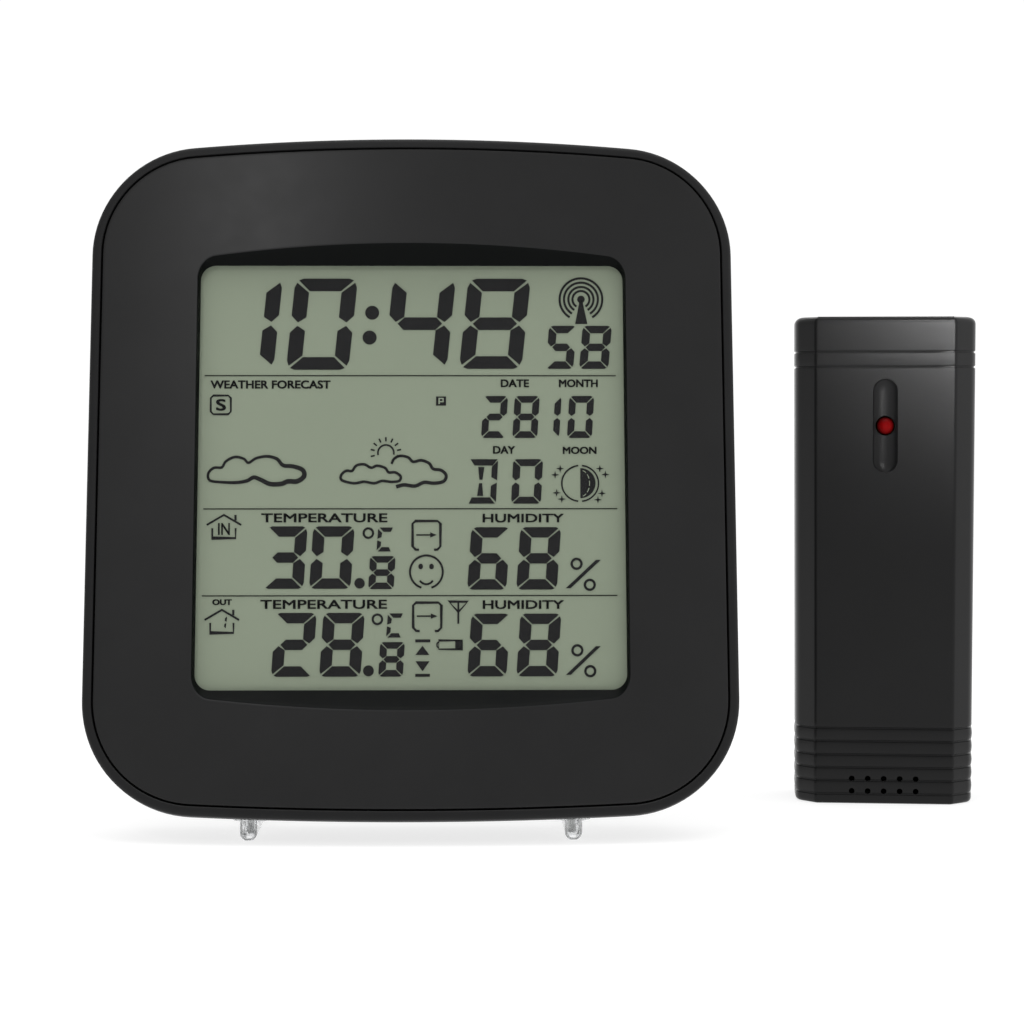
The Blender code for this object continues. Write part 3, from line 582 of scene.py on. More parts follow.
# The hidden back of the bezel joins the opening's rim to the outer edge.
back = [bm.verts.new((p.co.x, max(p.co.y + 0.0, LCD_Y + 0.06), p.co.z)) for p in rings[-1]]
back_out = [bm.verts.new((x, max(face_y(x) + 2.2, LCD_Y + 0.06), z)) for x, z in [between(a, b, 0.25) for a, b in zip(flat_edge, outer)]]
for one, two in ((rings[-1], back), (back, back_out), (back_out, front_rings[0])):
    for index in range(count):
        after = (index + 1) % count
        bm.faces.new((one[index], one[after], two[after], two[index]))
bezel = build(bm, "bezel_moulding", (CASE, REVEAL_PAINTED_SHADE), TILT, "console", ("front_bezel",), sharp=24.0)

bm = bmesh.new()
for x, z in SCREWS:
    turned(bm, [(2.8, 6.8), (2.8, 23.2), (1.5, 23.4)], (x, 0, z), "Y", 32)
build(bm, "bezel_screw_posts", BACK, TILT, "console")

# ------------------------------------------------------------------ rear case

bm = bmesh.new()
loops = [
    case_loop(11.2, 26.0, 0.0),
    case_loop(8.8, 23.2, 0.0),
    case_loop(6.3, 14.8, 0.0),
    case_loop(4.4, 6.2),
    case_loop(1.9, 4.0),
    case_loop(1.9, 0.35),
    case_loop(1.82, 0.10),
    case_loop(1.66, 0.0),
    case_loop(1.2, 0.0),
    case_loop(0.75, 0.03),
    case_loop(0.38, 0.16),
    case_loop(0.12, 0.42),
    case_loop(0.0, 0.85),
    case_loop(0.0, 3.2),
    case_loop(0.10, 3.65),
    case_loop(0.45, 4.0),
    case_loop(1.2, 4.3),
    case_loop(1.9, 4.75),
    case_loop(2.3, 5.4),
    case_loop(2.6, 6.3, 0.94),
    case_loop(3.1, 8.8, 0.62),
    case_loop(3.8, 11.8, 0.28),
    case_loop(4.6, 15.5, 0.06),
    case_loop(5.6, 19.5, 0.0),
    case_loop(6.6, 23.0, 0.0),
    case_loop(7.2, 24.9, 0.0),
    case_loop(7.9, 26.3, 0.0),
    case_loop(8.8, 27.3, 0.0),
    case_loop(9.9, 27.85, 0.0),
    case_loop(11.0, 28.0, 0.0),
]
loft(bm, loops)
rear = build(bm, "rear_case_moulding", (BACK,), TILT, "console", ("rear_case",), sharp=30.0)

BAY_W, BAY_Z0, BAY_Z1, BAY_Y = 65.0, 17.6, 49.4, 9.8
cuts = []
bm = bmesh.new()
add_box(bm, (-BAY_W / 2 - 1.2, BAY_Y, BAY_Z0 - 1.2), (BAY_W / 2 + 1.2, CASE_D - 1.0, BAY_Z1 + 1.2))
cuts.append((cutter(bm, "bay", TILT), "UNION"))
bm = bmesh.new()
for side in (-1, 1):
    add_cyl(bm, 4.0, (side * 31.0, 19.0, 4.9), (side * 31.0, 19.0, 11.5), 48)
cuts.append((cutter(bm, "boss", GROUND), "UNION"))
bm = bmesh.new()
add_box(bm, (-BAY_W / 2, BAY_Y + 1.0, BAY_Z0), (BAY_W / 2, CASE_D + 2, BAY_Z1))
cuts.append((cutter(bm, "bay_cut", TILT), "DIFFERENCE"))
bm = bmesh.new()
prism(bm, rounded(BAY_W + 3.4, BAY_Z1 - BAY_Z0 + 3.4, 2.0, 0, (BAY_Z0 + BAY_Z1) / 2, 6), CASE_D - 0.7, CASE_D + 2)
for x in BUTTON_X:
    prism(bm, rounded(8.6, 5.0, 1.6, x, BUTTON_Z, 6), CASE_D - 4, CASE_D + 2)
for step in range(6):
    for side in (-1, 1):
        prism(bm, rounded(14.0, 1.6, 0.79, side * 39.0, 62.8 + 4.0 * step, 5), CASE_D - 4, CASE_D + 2)
key = []
rise = math.asin(4.8 / 2 / 4.4)
for step in range(49):
    angle = math.pi / 2 + rise + (2 * math.pi - 2 * rise) * step / 48
    key.append((4.4 * math.cos(angle), 106.5 + 4.4 * math.sin(angle)))
for step in range(17):
    angle = math.pi * step / 16
    key.append((2.4 * math.cos(angle), 114.1 + 2.4 * math.sin(angle)))
prism(bm, key, CASE_D - 4, CASE_D + 2)
cuts.append((cutter(bm, "openings", TILT), "DIFFERENCE"))
bm = bmesh.new()
for x, z in SCREWS:
    add_cyl(bm, 1.6, (x, CASE_D - 5, z), (x, CASE_D + 2, z), 32)
cuts.append((cutter(bm, "screw_holes", TILT), "DIFFERENCE"))
bm = bmesh.new()
for x, z in SCREWS:
    add_cyl(bm, 2.9, (x, CASE_D - 1.1, z), (x, CASE_D + 2, z), 40)
cuts.append((cutter(bm, "screw_seats", TILT), "DIFFERENCE"))
bm = bmesh.new()
for side in (-1, 1):
    add_cyl(bm, 1.05, (side * 31.0, 19.0, 2.0), (side * 31.0, 19.0, 9.5), 32)
cuts.append((cutter(bm, "pin_holes", GROUND), "DIFFERENCE"))
bake(rear, cuts)

# ------------------------------------------------------------------ buttons and back details

for x, word in zip(BUTTON_X, BUTTON_NAMES):
    bm = bmesh.new()

    def cap_loop(w, h, r, y):
        return [(px, y, pz) for px, pz in rounded(w, h, r, x, BUTTON_Z, 8)]

    loft(
        bm,
        [
            cap_loop(7.0, 3.4, 0.9, 15.3),
            cap_loop(7.0, 3.4, 0.9, 25.0),
            cap_loop(8.0, 4.4, 1.3, 25.1),
            cap_loop(8.0, 4.4, 1.3, 27.6),
            cap_loop(7.86, 4.26, 1.25, 27.9),
            cap_loop(7.5, 3.9, 1.1, 28.12),
            cap_loop(6.8, 3.2, 0.9, 28.2),
            cap_loop(5.6, 2.2, 0.6, 28.12),
        ],
    )
    build(bm, "button_cap_" + word, BUTTON, TILT, "button_" + word, ("button_" + word,), sharp=34.0)

# Plain raised marks over the buttons, like a remote's: ring, bell, box, triangles and bars.


def ribbon(points, width, closed=False):
    """Left and right edges of a stroke of even width along 2D points."""
    count = len(points)
    left, right = [], []
    for index in range(count):
        if closed:
            before, after = points[index - 1], points[(index + 1) % count]
        else:
            before, after = points[max(index - 1, 0)], points[min(index + 1, count - 1)]
        along = Vector((after[0] - before[0], after[1] - before[1]))
        along = along.normalized() if along.length > 1e-9 else Vector((1, 0))
        side = Vector((-along.y, along.x))
        scale = 1.0
        if 0 < index < count - 1 or closed:
            first = Vector((points[index][0] - before[0], points[index][1] - before[1]))
            if first.length > 1e-9:
                first.normalize()
                scale = 1.0 / max(0.5, abs(Vector((-first.y, first.x)).dot(side)))
        wide = (width(index / max(count - 1, 1)) if callable(width) else width) / 2 * scale
        left.append((points[index][0] + side.x * wide, points[index][1] + side.y * wide))
        right.append((points[index][0] - side.x * wide, points[index][1] - side.y * wide))
    return left, right


def add_ribbon(bm, points, width, y0, y1, closed=False):
    left, right = ribbon(points, width, closed)
    loops = []
    for a, b in zip(left, right):
        loops.append([(a[0], y0, a[1]), (b[0], y0, b[1]), (b[0], y1, b[1]), (a[0], y1, a[1])])
    rings = [[bm.verts.new(p) for p in loop] for loop in loops]
    pairs = list(zip(rings, rings[1:])) + ([(rings[-1], rings[0])] if closed else [])
    for one, two in pairs:
        for index in range(4):
            after = (index + 1) % 4
            bm.faces.new((one[index], one[after], two[after], two[index]))
    if not closed:
        bm.faces.new(rings[0])
        bm.faces.new(rings[-1])


def arc_points(cx, cz, r, start, end, steps=24, squash=1.0):
    return [
        (cx + r * math.cos(math.radians(start + (end - start) * k / steps)), cz + squash * r * math.sin(math.radians(start + (end - start) * k / steps)))
        for k in range(steps + 1)
    ]


bm = bmesh.new()
marks_y = (CASE_D - 0.02, CASE_D + 0.10)
mz = BUTTON_Z + 6.0
add_ribbon(bm, arc_points(-35.0, mz, 1.1, 0, 345, 24), 0.32, *marks_y)
add_ribbon(bm, arc_points(-35.0, mz, 0.3, 0, 345, 12), 0.3, *marks_y)
add_ribbon(bm, [(-22.4, mz - 0.7), (-22.0, mz + 0.6), (-21.0, mz + 1.2), (-20.0, mz + 0.6), (-19.6, mz - 0.7)], 0.32, *marks_y)
add_ribbon(bm, [(-22.6, mz - 0.9), (-19.4, mz - 0.9)], 0.32, *marks_y)
add_ribbon(bm, [(-8.3, mz - 0.9), (-5.7, mz - 0.9), (-5.7, mz + 0.9), (-8.3, mz + 0.9)], 0.32, *marks_y, closed=True)
for cx, up in ((7.0, -1), (21.0, 1)):
    prism(bm, [(cx - 1.3, mz - up * 0.8), (cx + 1.3, mz - up * 0.8), (cx, mz + up * 1.1)], *marks_y)
for step in (-1, 0, 1):
    add_ribbon(bm, [(33.8, mz + step * 0.75), (36.2, mz + step * 0.75)], 0.32, *marks_y)
build(bm, "button_marks", BUTTON, TILT, "console", sharp=30.0)

# Console battery door, with a thumb grip of fine ribs.
bm = bmesh.new()
door_w, door_h, door_z = BAY_W - 0.8, BAY_Z1 - BAY_Z0 - 0.8, (BAY_Z0 + BAY_Z1) / 2


def door_loop(w, h, r, y):
    return [(px, y, pz) for px, pz in rounded(w, h, r, 0, door_z, 6)]


loft(
    bm,
    [
        door_loop(door_w, door_h, 0.8, CASE_D - 1.6),
        door_loop(door_w, door_h, 0.8, CASE_D - 0.72),
        door_loop(door_w + 2.8, door_h + 2.8, 1.7, CASE_D - 0.66),
        door_loop(door_w + 2.8, door_h + 2.8, 1.7, CASE_D - 0.22),
        door_loop(door_w + 2.5, door_h + 2.5, 1.6, CASE_D - 0.05),
        door_loop(door_w + 2.0, door_h + 2.0, 1.4, CASE_D),
    ],
)
door = build(bm, "battery_door_moulding", (BACK,), TILT, "console_battery_door", ("console_battery_door",), sharp=30.0)
bm = bmesh.new()
prism(bm, rounded(20.0, 6.0, 2.9, 0, BAY_Z1 - 6.5, 8), CASE_D - 0.45, CASE_D + 1.0)
bake(door, [(cutter(bm, "grip", TILT), "DIFFERENCE")])
bm = bmesh.new()
for step in range(5):
    z = BAY_Z1 - 8.5 + step * 1.0
    half = 8.6 - abs(step - 2) * 0.5
    loft(
        bm,
        [
            [(-half, CASE_D - 0.46, z - 0.22), (-half, CASE_D - 0.12, z), (-half, CASE_D - 0.46, z + 0.22)],
            [(half, CASE_D - 0.46, z - 0.22), (half, CASE_D - 0.12, z), (half, CASE_D - 0.46, z + 0.22)],
        ],
    )
add_ribbon(bm, [(-3.0, BAY_Z1 - 1.9), (0.0, BAY_Z1 - 0.7), (3.0, BAY_Z1 - 1.9)], 0.45, CASE_D - 0.02, CASE_D + 0.12)
build(bm, "battery_door_grip", BACK, TILT, "console_battery_door", sharp=30.0)


def phillips(name, radius, place, node, body, matrix, depth=0.2):
    """A pan-head screw with a cross recess."""
    bm = bmesh.new()
    x, y, z = place
    turned(
        bm,
        [
            (0.02, -depth),
            (radius * 0.55, -depth - 0.02),
            (radius * 0.86, -depth - 0.16),
            (radius * 0.98, -depth - 0.36),
            (radius, -depth - 0.6),
            (radius * 0.48, -depth - 0.7),
            (radius * 0.48, -11.3 if radius > 2.2 else -8.9),
        ],
        place,
        "Y",
        40,
    )
    screw = build(bm, name, STEEL, matrix, body, (node,), sharp=36.0)
    bm = bmesh.new()
    arm = radius * 0.62
    add_box(bm, (x - arm, y - depth - 0.55, z - 0.24), (x + arm, y + 1, z + 0.24))
    one = cutter(bm, "cross_a", matrix)
    bm = bmesh.new()
    add_box(bm, (x - 0.24, y - depth - 0.55, z - arm), (x + 0.24, y + 1, z + arm))
    two = cutter(bm, "cross_b", matrix)
    bake(screw, [(one, "DIFFERENCE"), (two, "DIFFERENCE")])


for (x, z), word in zip(SCREWS, ("lower_right", "lower_left", "upper_right", "upper_left")):
    phillips("pan_screw_" + word, 2.5, (x, CASE_D, z), "case_screw_" + word, "console", TILT)

# ------------------------------------------------------------------ display

bm = bmesh.new()
prism(bm, rounded(88.4, 89.6, 0.8, 0, WINDOW_Z, 4), 5.02, 6.8)
lcd = build(bm, "lcd_glass_stack", LCD, TILT, "console", ("lcd_panel",), sharp=30.0)

# Segments, rules, icons and function words are printed electrodes: thin dark solids just in front of the glass stack.
INK_Y = (4.90, 5.00)


def gx(x, y):
    """Grid across the display, 421.5 units wide at its top and 433 at its bottom, to millimetres."""
    part = (y - 266.0) / 423.5
    centre = 410.75 - 1.25 * part
    wide = 421.5 + 11.5 * part
    return (x - 2.1 + (x - 210.0) * 0.0032 - centre) / wide * 82.6


def gz(y):
    part = (y - 266.8) / 423.5
    return WINDOW_Z + 41.9 - 83.8 * (part + 0.0135 * part * (1.0 - part))


def g(x, y):
    return gx(x, y), gz(y)


UNIT = 82.6 / 427.0

ink = bmesh.new()
thin = bmesh.new()


def shape(points, bm=None):
    prism(ink if bm is None else bm, [g(x, y) for x, y in points], *INK_Y)


def stroke(points, width=2.3, closed=False, bm=None):
    where = [g(x, y) for x, y in points]
    wide = (lambda part: width(part) * UNIT) if callable(width) else width * UNIT
    add_ribbon(ink if bm is None else bm, where, wide, *INK_Y, closed=closed)


def disc(cx, cy, rx, ry=None, bm=None):
    ry = rx if ry is None else ry
    shape([(cx + rx * math.cos(2 * math.pi * k / 28), cy + ry * math.sin(2 * math.pi * k / 28)) for k in range(28)], bm)


def curve(cx, cy, rx, ry, start, end, width=2.3, steps=30):
    """An arc; angles run anticlockwise from the right, as seen."""
    stroke(
        [
            (cx + rx * math.cos(math.radians(start + (end - start) * k / steps)), cy - ry * math.sin(math.radians(start + (end - start) * k / steps)))
            for k in range(steps + 1)
        ],
        width,
    )


def ring(cx, cy, r, width=2.3):
    stroke([(cx + r * math.cos(2 * math.pi * k / 32), cy + r * math.sin(2 * math.pi * k / 32)) for k in range(32)], width, closed=True)


SEGMENTS = {
    "0": "abcdef", "1": "bc", "2": "abdeg", "3": "abcdg", "4": "bcfg", "5": "acdfg", "6": "acdefg", "7": "abc", "8": "abcdefg", "9": "abcdfg", "C": "adef",
}


def digit(char, x0, x1, y0, y1, flat, upright, slant=0.105, gap=1.0, soft=0.0):
    """One seven-segment figure between its left and right extremes. flat and upright are the two kinds of segment's thickness, gap half the space between two segments, and soft the cut of its outer corners."""
    lean = slant * (y1 - y0)
    wide = x1 - x0 - lean
    mid = (y0 + y1) / 2
    h, v, n = flat / 2, upright, gap

    def pt(dx, y):
        return (x0 + dx + (y1 - y) * slant, y)

    # Each upright ends in a point near the middle, cut away on its outer side.
    near, cut, tip, end = mid - n * 1.35, mid - v * 0.57, v * 0.45, soft * 1.6 + n
    low_near, low_cut = 2 * mid - near, 2 * mid - cut
    lit = SEGMENTS[char]
    if "a" in lit:
        shape([pt(n + soft * 0.5, y0 + soft * 0.35), pt(n + soft * 1.4, y0), pt(wide - n - soft * 1.4, y0), pt(wide - n - soft * 0.5, y0 + soft * 0.35), pt(wide - v - n * 0.3, y0 + flat), pt(v + n * 0.3, y0 + flat)])
    if "d" in lit:
        shape([pt(v + n * 0.3, y1 - flat), pt(wide - v - n * 0.3, y1 - flat), pt(wide - n - soft * 0.5, y1 - soft * 0.35), pt(wide - n - soft * 1.4, y1), pt(n + soft * 1.4, y1), pt(n + soft * 0.5, y1 - soft * 0.35)])
    if "g" in lit:
        shape([pt(v * 0.6, mid), pt(v + n * 0.2, mid - h), pt(wide - v - n * 0.2, mid - h), pt(wide - v * 0.6, mid), pt(wide - v - n * 0.2, mid + h), pt(v + n * 0.2, mid + h)])
    if "f" in lit:
        shape([pt(0, y0 + end), pt(soft * 0.45, y0 + soft * 0.55 + n), pt(v - n * 0.2, y0 + flat + n * 1.2), pt(v - n * 0.2, mid - h - n * 0.4), pt(tip, near), pt(0, cut)])
    if "e" in lit:
        shape([pt(0, low_cut), pt(tip, low_near), pt(v - n * 0.2, mid + h + n * 0.4), pt(v - n * 0.2, y1 - flat - n * 1.2), pt(soft * 0.45, y1 - soft * 0.55 - n), pt(0, y1 - end)])
    if "b" in lit:
        shape([pt(wide, y0 + end), pt(wide, cut), pt(wide - tip, near), pt(wide - v + n * 0.2, mid - h - n * 0.4), pt(wide - v + n * 0.2, y0 + flat + n * 1.2), pt(wide - soft * 0.45, y0 + soft * 0.55 + n)])
    if "c" in lit:
        shape([pt(wide, low_cut), pt(wide, y1 - end), pt(wide - soft * 0.45, y1 - soft * 0.55 - n), pt(wide - v + n * 0.2, y1 - flat - n * 1.2), pt(wide - v + n * 0.2, mid + h + n * 0.4), pt(wide - tip, low_near)])


def word(text, x0, x1, y0, y1, weight=0.36):
    """A function word in Blender's built-in sans face, fitted to its box on the display. weight is how far its strokes are thickened."""
    curve_data = bpy.data.curves.new("word", "FONT")
    curve_data.body = text
    curve_data.size = 1.0
    curve_data.resolution_u = 4
    curve_data.fill_mode = "BOTH"
    obj = bpy.data.objects.new("word", curve_data)
    bpy.context.scene.collection.objects.link(obj)
    graph = bpy.context.evaluated_depsgraph_get()
    graph.update()
    mesh = bpy.data.meshes.new_from_object(obj.evaluated_get(graph), depsgraph=graph)
    bpy.data.objects.remove(obj, do_unlink=True)
    bpy.data.curves.remove(curve_data)
    xs = [v.co.x for v in mesh.vertices]
    ys = [v.co.y for v in mesh.vertices]
    lo_x, hi_x, lo_y, hi_y = min(xs), max(xs), min(ys), max(ys)
    for across, down in ((0.0, 0.0), (-1.0, -0.5), (-1.0, 0.5), (1.0, -0.5), (1.0, 0.5)):
        flat = bmesh.new()
        flat.from_mesh(mesh)
        for vertex in flat.verts:
            px = x0 + weight + (vertex.co.x - lo_x) / (hi_x - lo_x) * (x1 - x0 - 2 * weight) + across * weight
            py = y1 - weight / 2 - (vertex.co.y - lo_y) / (hi_y - lo_y) * (y1 - y0 - weight) + down * weight
            x, z = g(px, py)
            vertex.co = Vector((x, INK_Y[0], z))
        bmesh.ops.dissolve_limit(flat, angle_limit=0.01, verts=flat.verts, edges=flat.edges)
        made = bmesh.ops.extrude_face_region(flat, geom=flat.faces[:])
        for item in made["geom"]:
            if isinstance(item, bmesh.types.BMVert):
                item.co.y = INK_Y[1]
        bmesh.ops.recalc_face_normals(flat, faces=flat.faces)
        temp = bpy.data.meshes.new("word")
        flat.to_mesh(temp)
        flat.free()
        ink.from_mesh(temp)
        bpy.data.meshes.remove(temp)
    bpy.data.meshes.remove(mesh)


def rule(x0, x1, y):
    add_ribbon(thin, [g(x0 + (x1 - x0) * k / 8, y) for k in range(9)], 1.0 * UNIT, *INK_Y)


rule(205, 616, 376)
rule(203.5, 617.4, 509.5)
rule(202, 617.4, 596)

# Clock
for char, x0, x1, y0, y1 in (("0", 286, 358, 278, 370), ("8", 459, 531, 278, 369)):
    digit(char, x0, x1, y0, y1, 12.6, 15.2, gap=1.35, soft=5.0)
digit("4", 383.8, 456, 278, 369, 12.6, 15.2, gap=1.35, soft=5.0)
digit("1", 212, 283, 278, 369, 12.6, 15.2, gap=1.35, soft=5.0)
disc(372.2, 312.4, 7)
disc(369.6, 337.5, 7)
digit("5", 545.6, 577.0, 325.6, 369, 7.4, 8.2, 0.085, 0.75, 2.4)
digit("8", 579.3, 612.2, 325.6, 369, 7.4, 8.2, 0.085, 0.75, 2.4)

# Radio tower
for r in (21.4, 17.0, 12.6, 8.5):
    curve(581.2, 298.8, r, r, -58, 238, 2.2, 36)
disc(581.2, 298.8, 3.8)
shape([(579.8, 300), (582.6, 300), (587.6, 323.6), (575.4, 323.6)])


# Forecast row
word("WEATHER FORECAST", 210.8, 330.6, 380.8, 389)
stroke([(213.5, 396), (228.5, 396), (231, 398.5), (231, 412), (228.5, 414.8), (213.5, 414.8), (211, 412), (211, 398.5)], 1.7, closed=True)
word("S", 216.2, 226.2, 399.6, 411.2, 0.55)
shape([(436, 397), (446, 397), (446, 406), (436, 406)])
paper = bmesh.new()
for points in ([(438.4, 398.4), (439.8, 398.4), (439.8, 404.6), (438.4, 404.6)], [(439.8, 398.4), (443.6, 398.4), (443.6, 399.6), (439.8, 399.6)], [(442.4, 399.6), (443.6, 399.6), (443.6, 401.6), (442.4, 401.6)], [(439.8, 401.6), (443.6, 401.6), (443.6, 402.8), (439.8, 402.8)]):
    prism(paper, [g(x, y) for x, y in points], 4.86, 4.895)


def smooth(points, closed=True, steps=6):
    """A closed or open Catmull-Rom run through the points."""
    count = len(points)
    out = []
    for index in range(count if closed else count - 1):
        p0 = points[(index - 1) % count] if closed or index > 0 else points[index]
        p1 = points[index]
        p2 = points[(index + 1) % count]
        p3 = points[(index + 2) % count] if closed or index < count - 2 else p2
        for step in range(steps):
            t = step / steps
            out.append(
                tuple(
                    0.5 * (2 * b + (c - a) * t + (2 * a - 5 * b + 4 * c - d) * t * t + (3 * b - a - 3 * c + d) * t * t * t)
                    for a, b, c, d in zip(p0, p1, p2, p3)
                )
            )
    if not closed:
        out.append(points[-1])
    return out


# Cloud, and sun over two clouds
cloud = [(210, 481), (208.5, 474), (214, 468.5), (222, 468), (226, 462), (235, 457.6), (244, 459.5), (248.5, 463.5), (256, 459), (266.7, 457), (277, 459.5), (283, 466), (293, 467), (302.5, 470.5), (304, 477), (297, 482), (288, 482), (281, 484.6), (270, 484.6), (261, 480.5), (253.8, 478), (247, 481.5), (236, 483.2), (222, 482.8)]
stroke(smooth(cloud, True, 4), lambda part: 2.6 + 2.2 * max(0.0, math.sin((part - 0.35) * math.pi * 1.6)), closed=True)
curve(385.8, 453.6, 8.0, 8.0, -12, 196, 1.7, 24)
for k in range(9):
    angle = math.radians(-14 + k * 26)
    stroke([(385.8 + 11.4 * math.cos(angle), 453.4 - 11.4 * math.sin(angle)), (385.8 + 15.6 * math.cos(angle), 453.4 - 15.6 * math.sin(angle))], 1.5)
front = [(342, 481), (341, 476), (346, 471.5), (352, 471.6), (356, 466.4), (364, 465), (371, 468.4), (377, 466.4), (385, 468.6), (388.5, 473), (395, 473), (400.5, 477), (399, 481.6), (391, 482.6), (382, 481.6), (374, 484), (364, 482.4), (354, 484)]
stroke(smooth(front, True, 4), 2.6, closed=True)
rear_cloud = [(391.5, 464.5), (394, 459.5), (400, 456.6), (408, 458), (413, 462.5), (421, 461), (429, 464), (433, 469.6), (441, 471), (446, 476), (443.6, 482), (434, 484), (424, 483), (415, 486.8), (404, 485.6), (396, 487.6)]
stroke(smooth(rear_cloud, False, 4), lambda part: 2.5 + 1.2 * part)

# Date
word("DATE", 500.8, 529.1, 379.8, 387.5)
word("MONTH", 559, 598, 379.8, 387.5)
digit("2", 481, 508.0, 396.5, 438.6, 6.6, 7.0, 0.06, 0.8, 2.0)
digit("8", 512.3, 539.8, 396.5, 438.6, 6.6, 7.0, 0.06, 0.8, 2.0)
digit("1", 535.5, 561.7, 396.5, 438.6, 6.6, 6.6, 0.06, 0.8, 2.0)
digit("0", 567.0, 594.4, 396.5, 438.6, 6.6, 7.0, 0.06, 0.8, 2.0)
word("DAY", 493, 515, 446.8, 454.4)
word("MOON", 562.8, 596.6, 447.5, 454.7)
digit("0", 511, 543, 460, 504.4, 6.8, 7.6, 0.05, 0.8, 2.0)
shape([(470.6, 460), (497.6, 460), (492.6, 466.2), (474.4, 466.2)])
shape([(471.6, 498.2), (489.8, 498.2), (494.6, 504.4), (468.6, 504.4)])
shape([(498.0, 461.4), (497.0, 480.9), (491.2, 477.8), (491.8, 467.6)])
shape([(496.8, 483.3), (495.8, 502.8), (490.2, 496.8), (490.8, 486.6)])
shape([(478.2, 467.8), (484.2, 467.8), (482.4, 480.4), (479.4, 480.4)])
shape([(479.0, 484.0), (482.0, 484.0), (483.0, 496.6), (477.0, 496.6)])

# Moon phase
curve(580.2, 484.2, 18.4, 17.9, 96, 264, 1.5, 40)
curve(580.2, 484.2, 18.4, 17.9, -84, 84, 1.5, 40)
shape([(580.4, 484 - 15.0)] + [(580.4 + 15.2 * math.cos(math.radians(a)), 484 - 15.0 * math.sin(math.radians(a))) for a in range(84, -90, -6)] + [(580.4, 484 + 15.0)])
for a in range(-64, 80, 32):
    arc = [(580.6 + 9.0 * math.cos(math.radians(a + k)), 484.2 - 13.2 * math.sin(math.radians(a + k))) for k in (-11, -5, 0, 5, 11)]
    add_ribbon(paper, [g(x, y) for x, y in arc], 0.75 * UNIT, 4.86, 4.895)
for cx, cy in ((560.2, 469.4), (555.1, 475.6), (599.9, 469.4), (605.5, 475.3), (556.6, 493.6), (561.8, 499.9), (602.0, 494.2), (598.0, 500.6)):
    shape([(cx + (3.9 if k % 2 == 0 else 1.15) * math.sin(math.pi * k / 4), cy - (3.9 if k % 2 == 0 else 1.15) * math.cos(math.pi * k / 4)) for k in range(8)])
build(paper, "lcd_paper_details", LCD, TILT, "console", sharp=20.0)


def house(cx, apex, eaves, wall_x, wall_y):
    stroke([(cx - 17.2, eaves), (cx, apex + 1.2), (cx + 17.2, eaves)], 1.9)
    stroke([(cx - wall_x, wall_y[0]), (cx - wall_x, wall_y[1]), (cx + wall_x, wall_y[1]), (cx + wall_x, wall_y[0])], 1.9)


def sign(kind, x0, x1, y):
    """The C of the degree sign, as four segments."""
    lean = 1.6
    shape([(x0 + 1.6 + lean, y), (x1, y), (x1 - 2.0, y + 4.2), (x0 + 5.4 + lean, y + 4.2)])
    shape([(x0 + lean, y + 1.4), (x0 + 4.2 + lean * 0.9, y + 5.4), (x0 + 4.0 + lean * 0.6, y + 9.6), (x0 + lean * 0.6, y + 11.0)])
    shape([(x0 + lean * 0.5, y + 12.8), (x0 + 4.0 + lean * 0.4, y + 14.2), (x0 + 3.8 + lean * 0.2, y + 18.6), (x0, y + 22.4)])
    shape([(x0 + 1.4, y + 23.8), (x0 + 5.0, y + 19.6), (x1 - 4.0, y + 19.6), (x1 - 2.2, y + 23.8)])


# Indoor row
house(224.1, 514.3, 525.5, 11.6, (528.7, 538.6))
stroke([(235.6, 515.6), (235.6, 521.0)], 2.2)
word("IN", 218.2, 230.0, 523.6, 535.4, 0.2)
word("TEMPERATURE", 261.3, 387.3, 514, 523)
digit("3", 263, 307.6, 527, 589, 10.2, 12.0, 0.07, 1.0, 3.0)
digit("0", 309, 354.6, 527, 589, 10.2, 12.0, 0.07, 1.0, 3.0)
disc(359.4, 583.6, 5.2)
digit("8", 368.0, 395.4, 556.7, 589.4, 6.4, 7.2, 0.06, 0.7, 1.8)
ring(368.2, 533.7, 4.7, 2.2)
sign("in", 376.4, 392.7, 528.2)


def trend(x0, x1, y0, y1, middle):
    stroke([(x0 + 7.4, y1 - 0.2), (x0 + 4.0, y1 - 0.4), (x0 + 1.0, y1 - 3.6), (x0 + 0.9, y0 + 3.6), (x0 + 3.8, y0 + 0.9), (x1 - 3.8, y0 + 0.9), (x1 - 0.9, y0 + 3.6), (x1 - 1.0, y1 - 3.6), (x1 - 4.0, y1 - 0.4), (x1 - 7.4, y1 - 0.2)], 2.2)
    stroke([(x0 + 4.6, middle), (x0 + 20.0, middle)], 1.4)
    shape([(x0 + 18.6, middle - 2.6), (x0 + 25.0, middle), (x0 + 18.6, middle + 2.6)])


trend(411.5, 441.2, 520.8, 550.6, 535.6)
curve(426.2, 572.4, 16.4, 16.4, -72, 252, 2.0, 44)
disc(420.5, 567, 2.3, 2.7)
disc(431.3, 567, 2.3, 2.7)
curve(426.2, 577.0, 7.6, 7.6, 212, 328, 2.0, 12)
word("HUMIDITY", 482.5, 563.6, 514.6, 523.2)
digit("6", 467, 510.4, 528, 590, 10.2, 12.0, 0.07, 1.0, 3.0)
digit("8", 516, 561, 528, 590, 10.2, 12.0, 0.07, 1.0, 3.0)


def percent(y0, y1, first, second):
    ring(first[0], first[1], 4.9, 2.4)
    ring(second[0], second[1], 4.9, 2.4)
    shape([(565.8, y1), (570.6, y1), (600.6, y0), (595.8, y0)])


percent(560.7, 588.7, (576.5, 564.5), (589.7, 585.4))

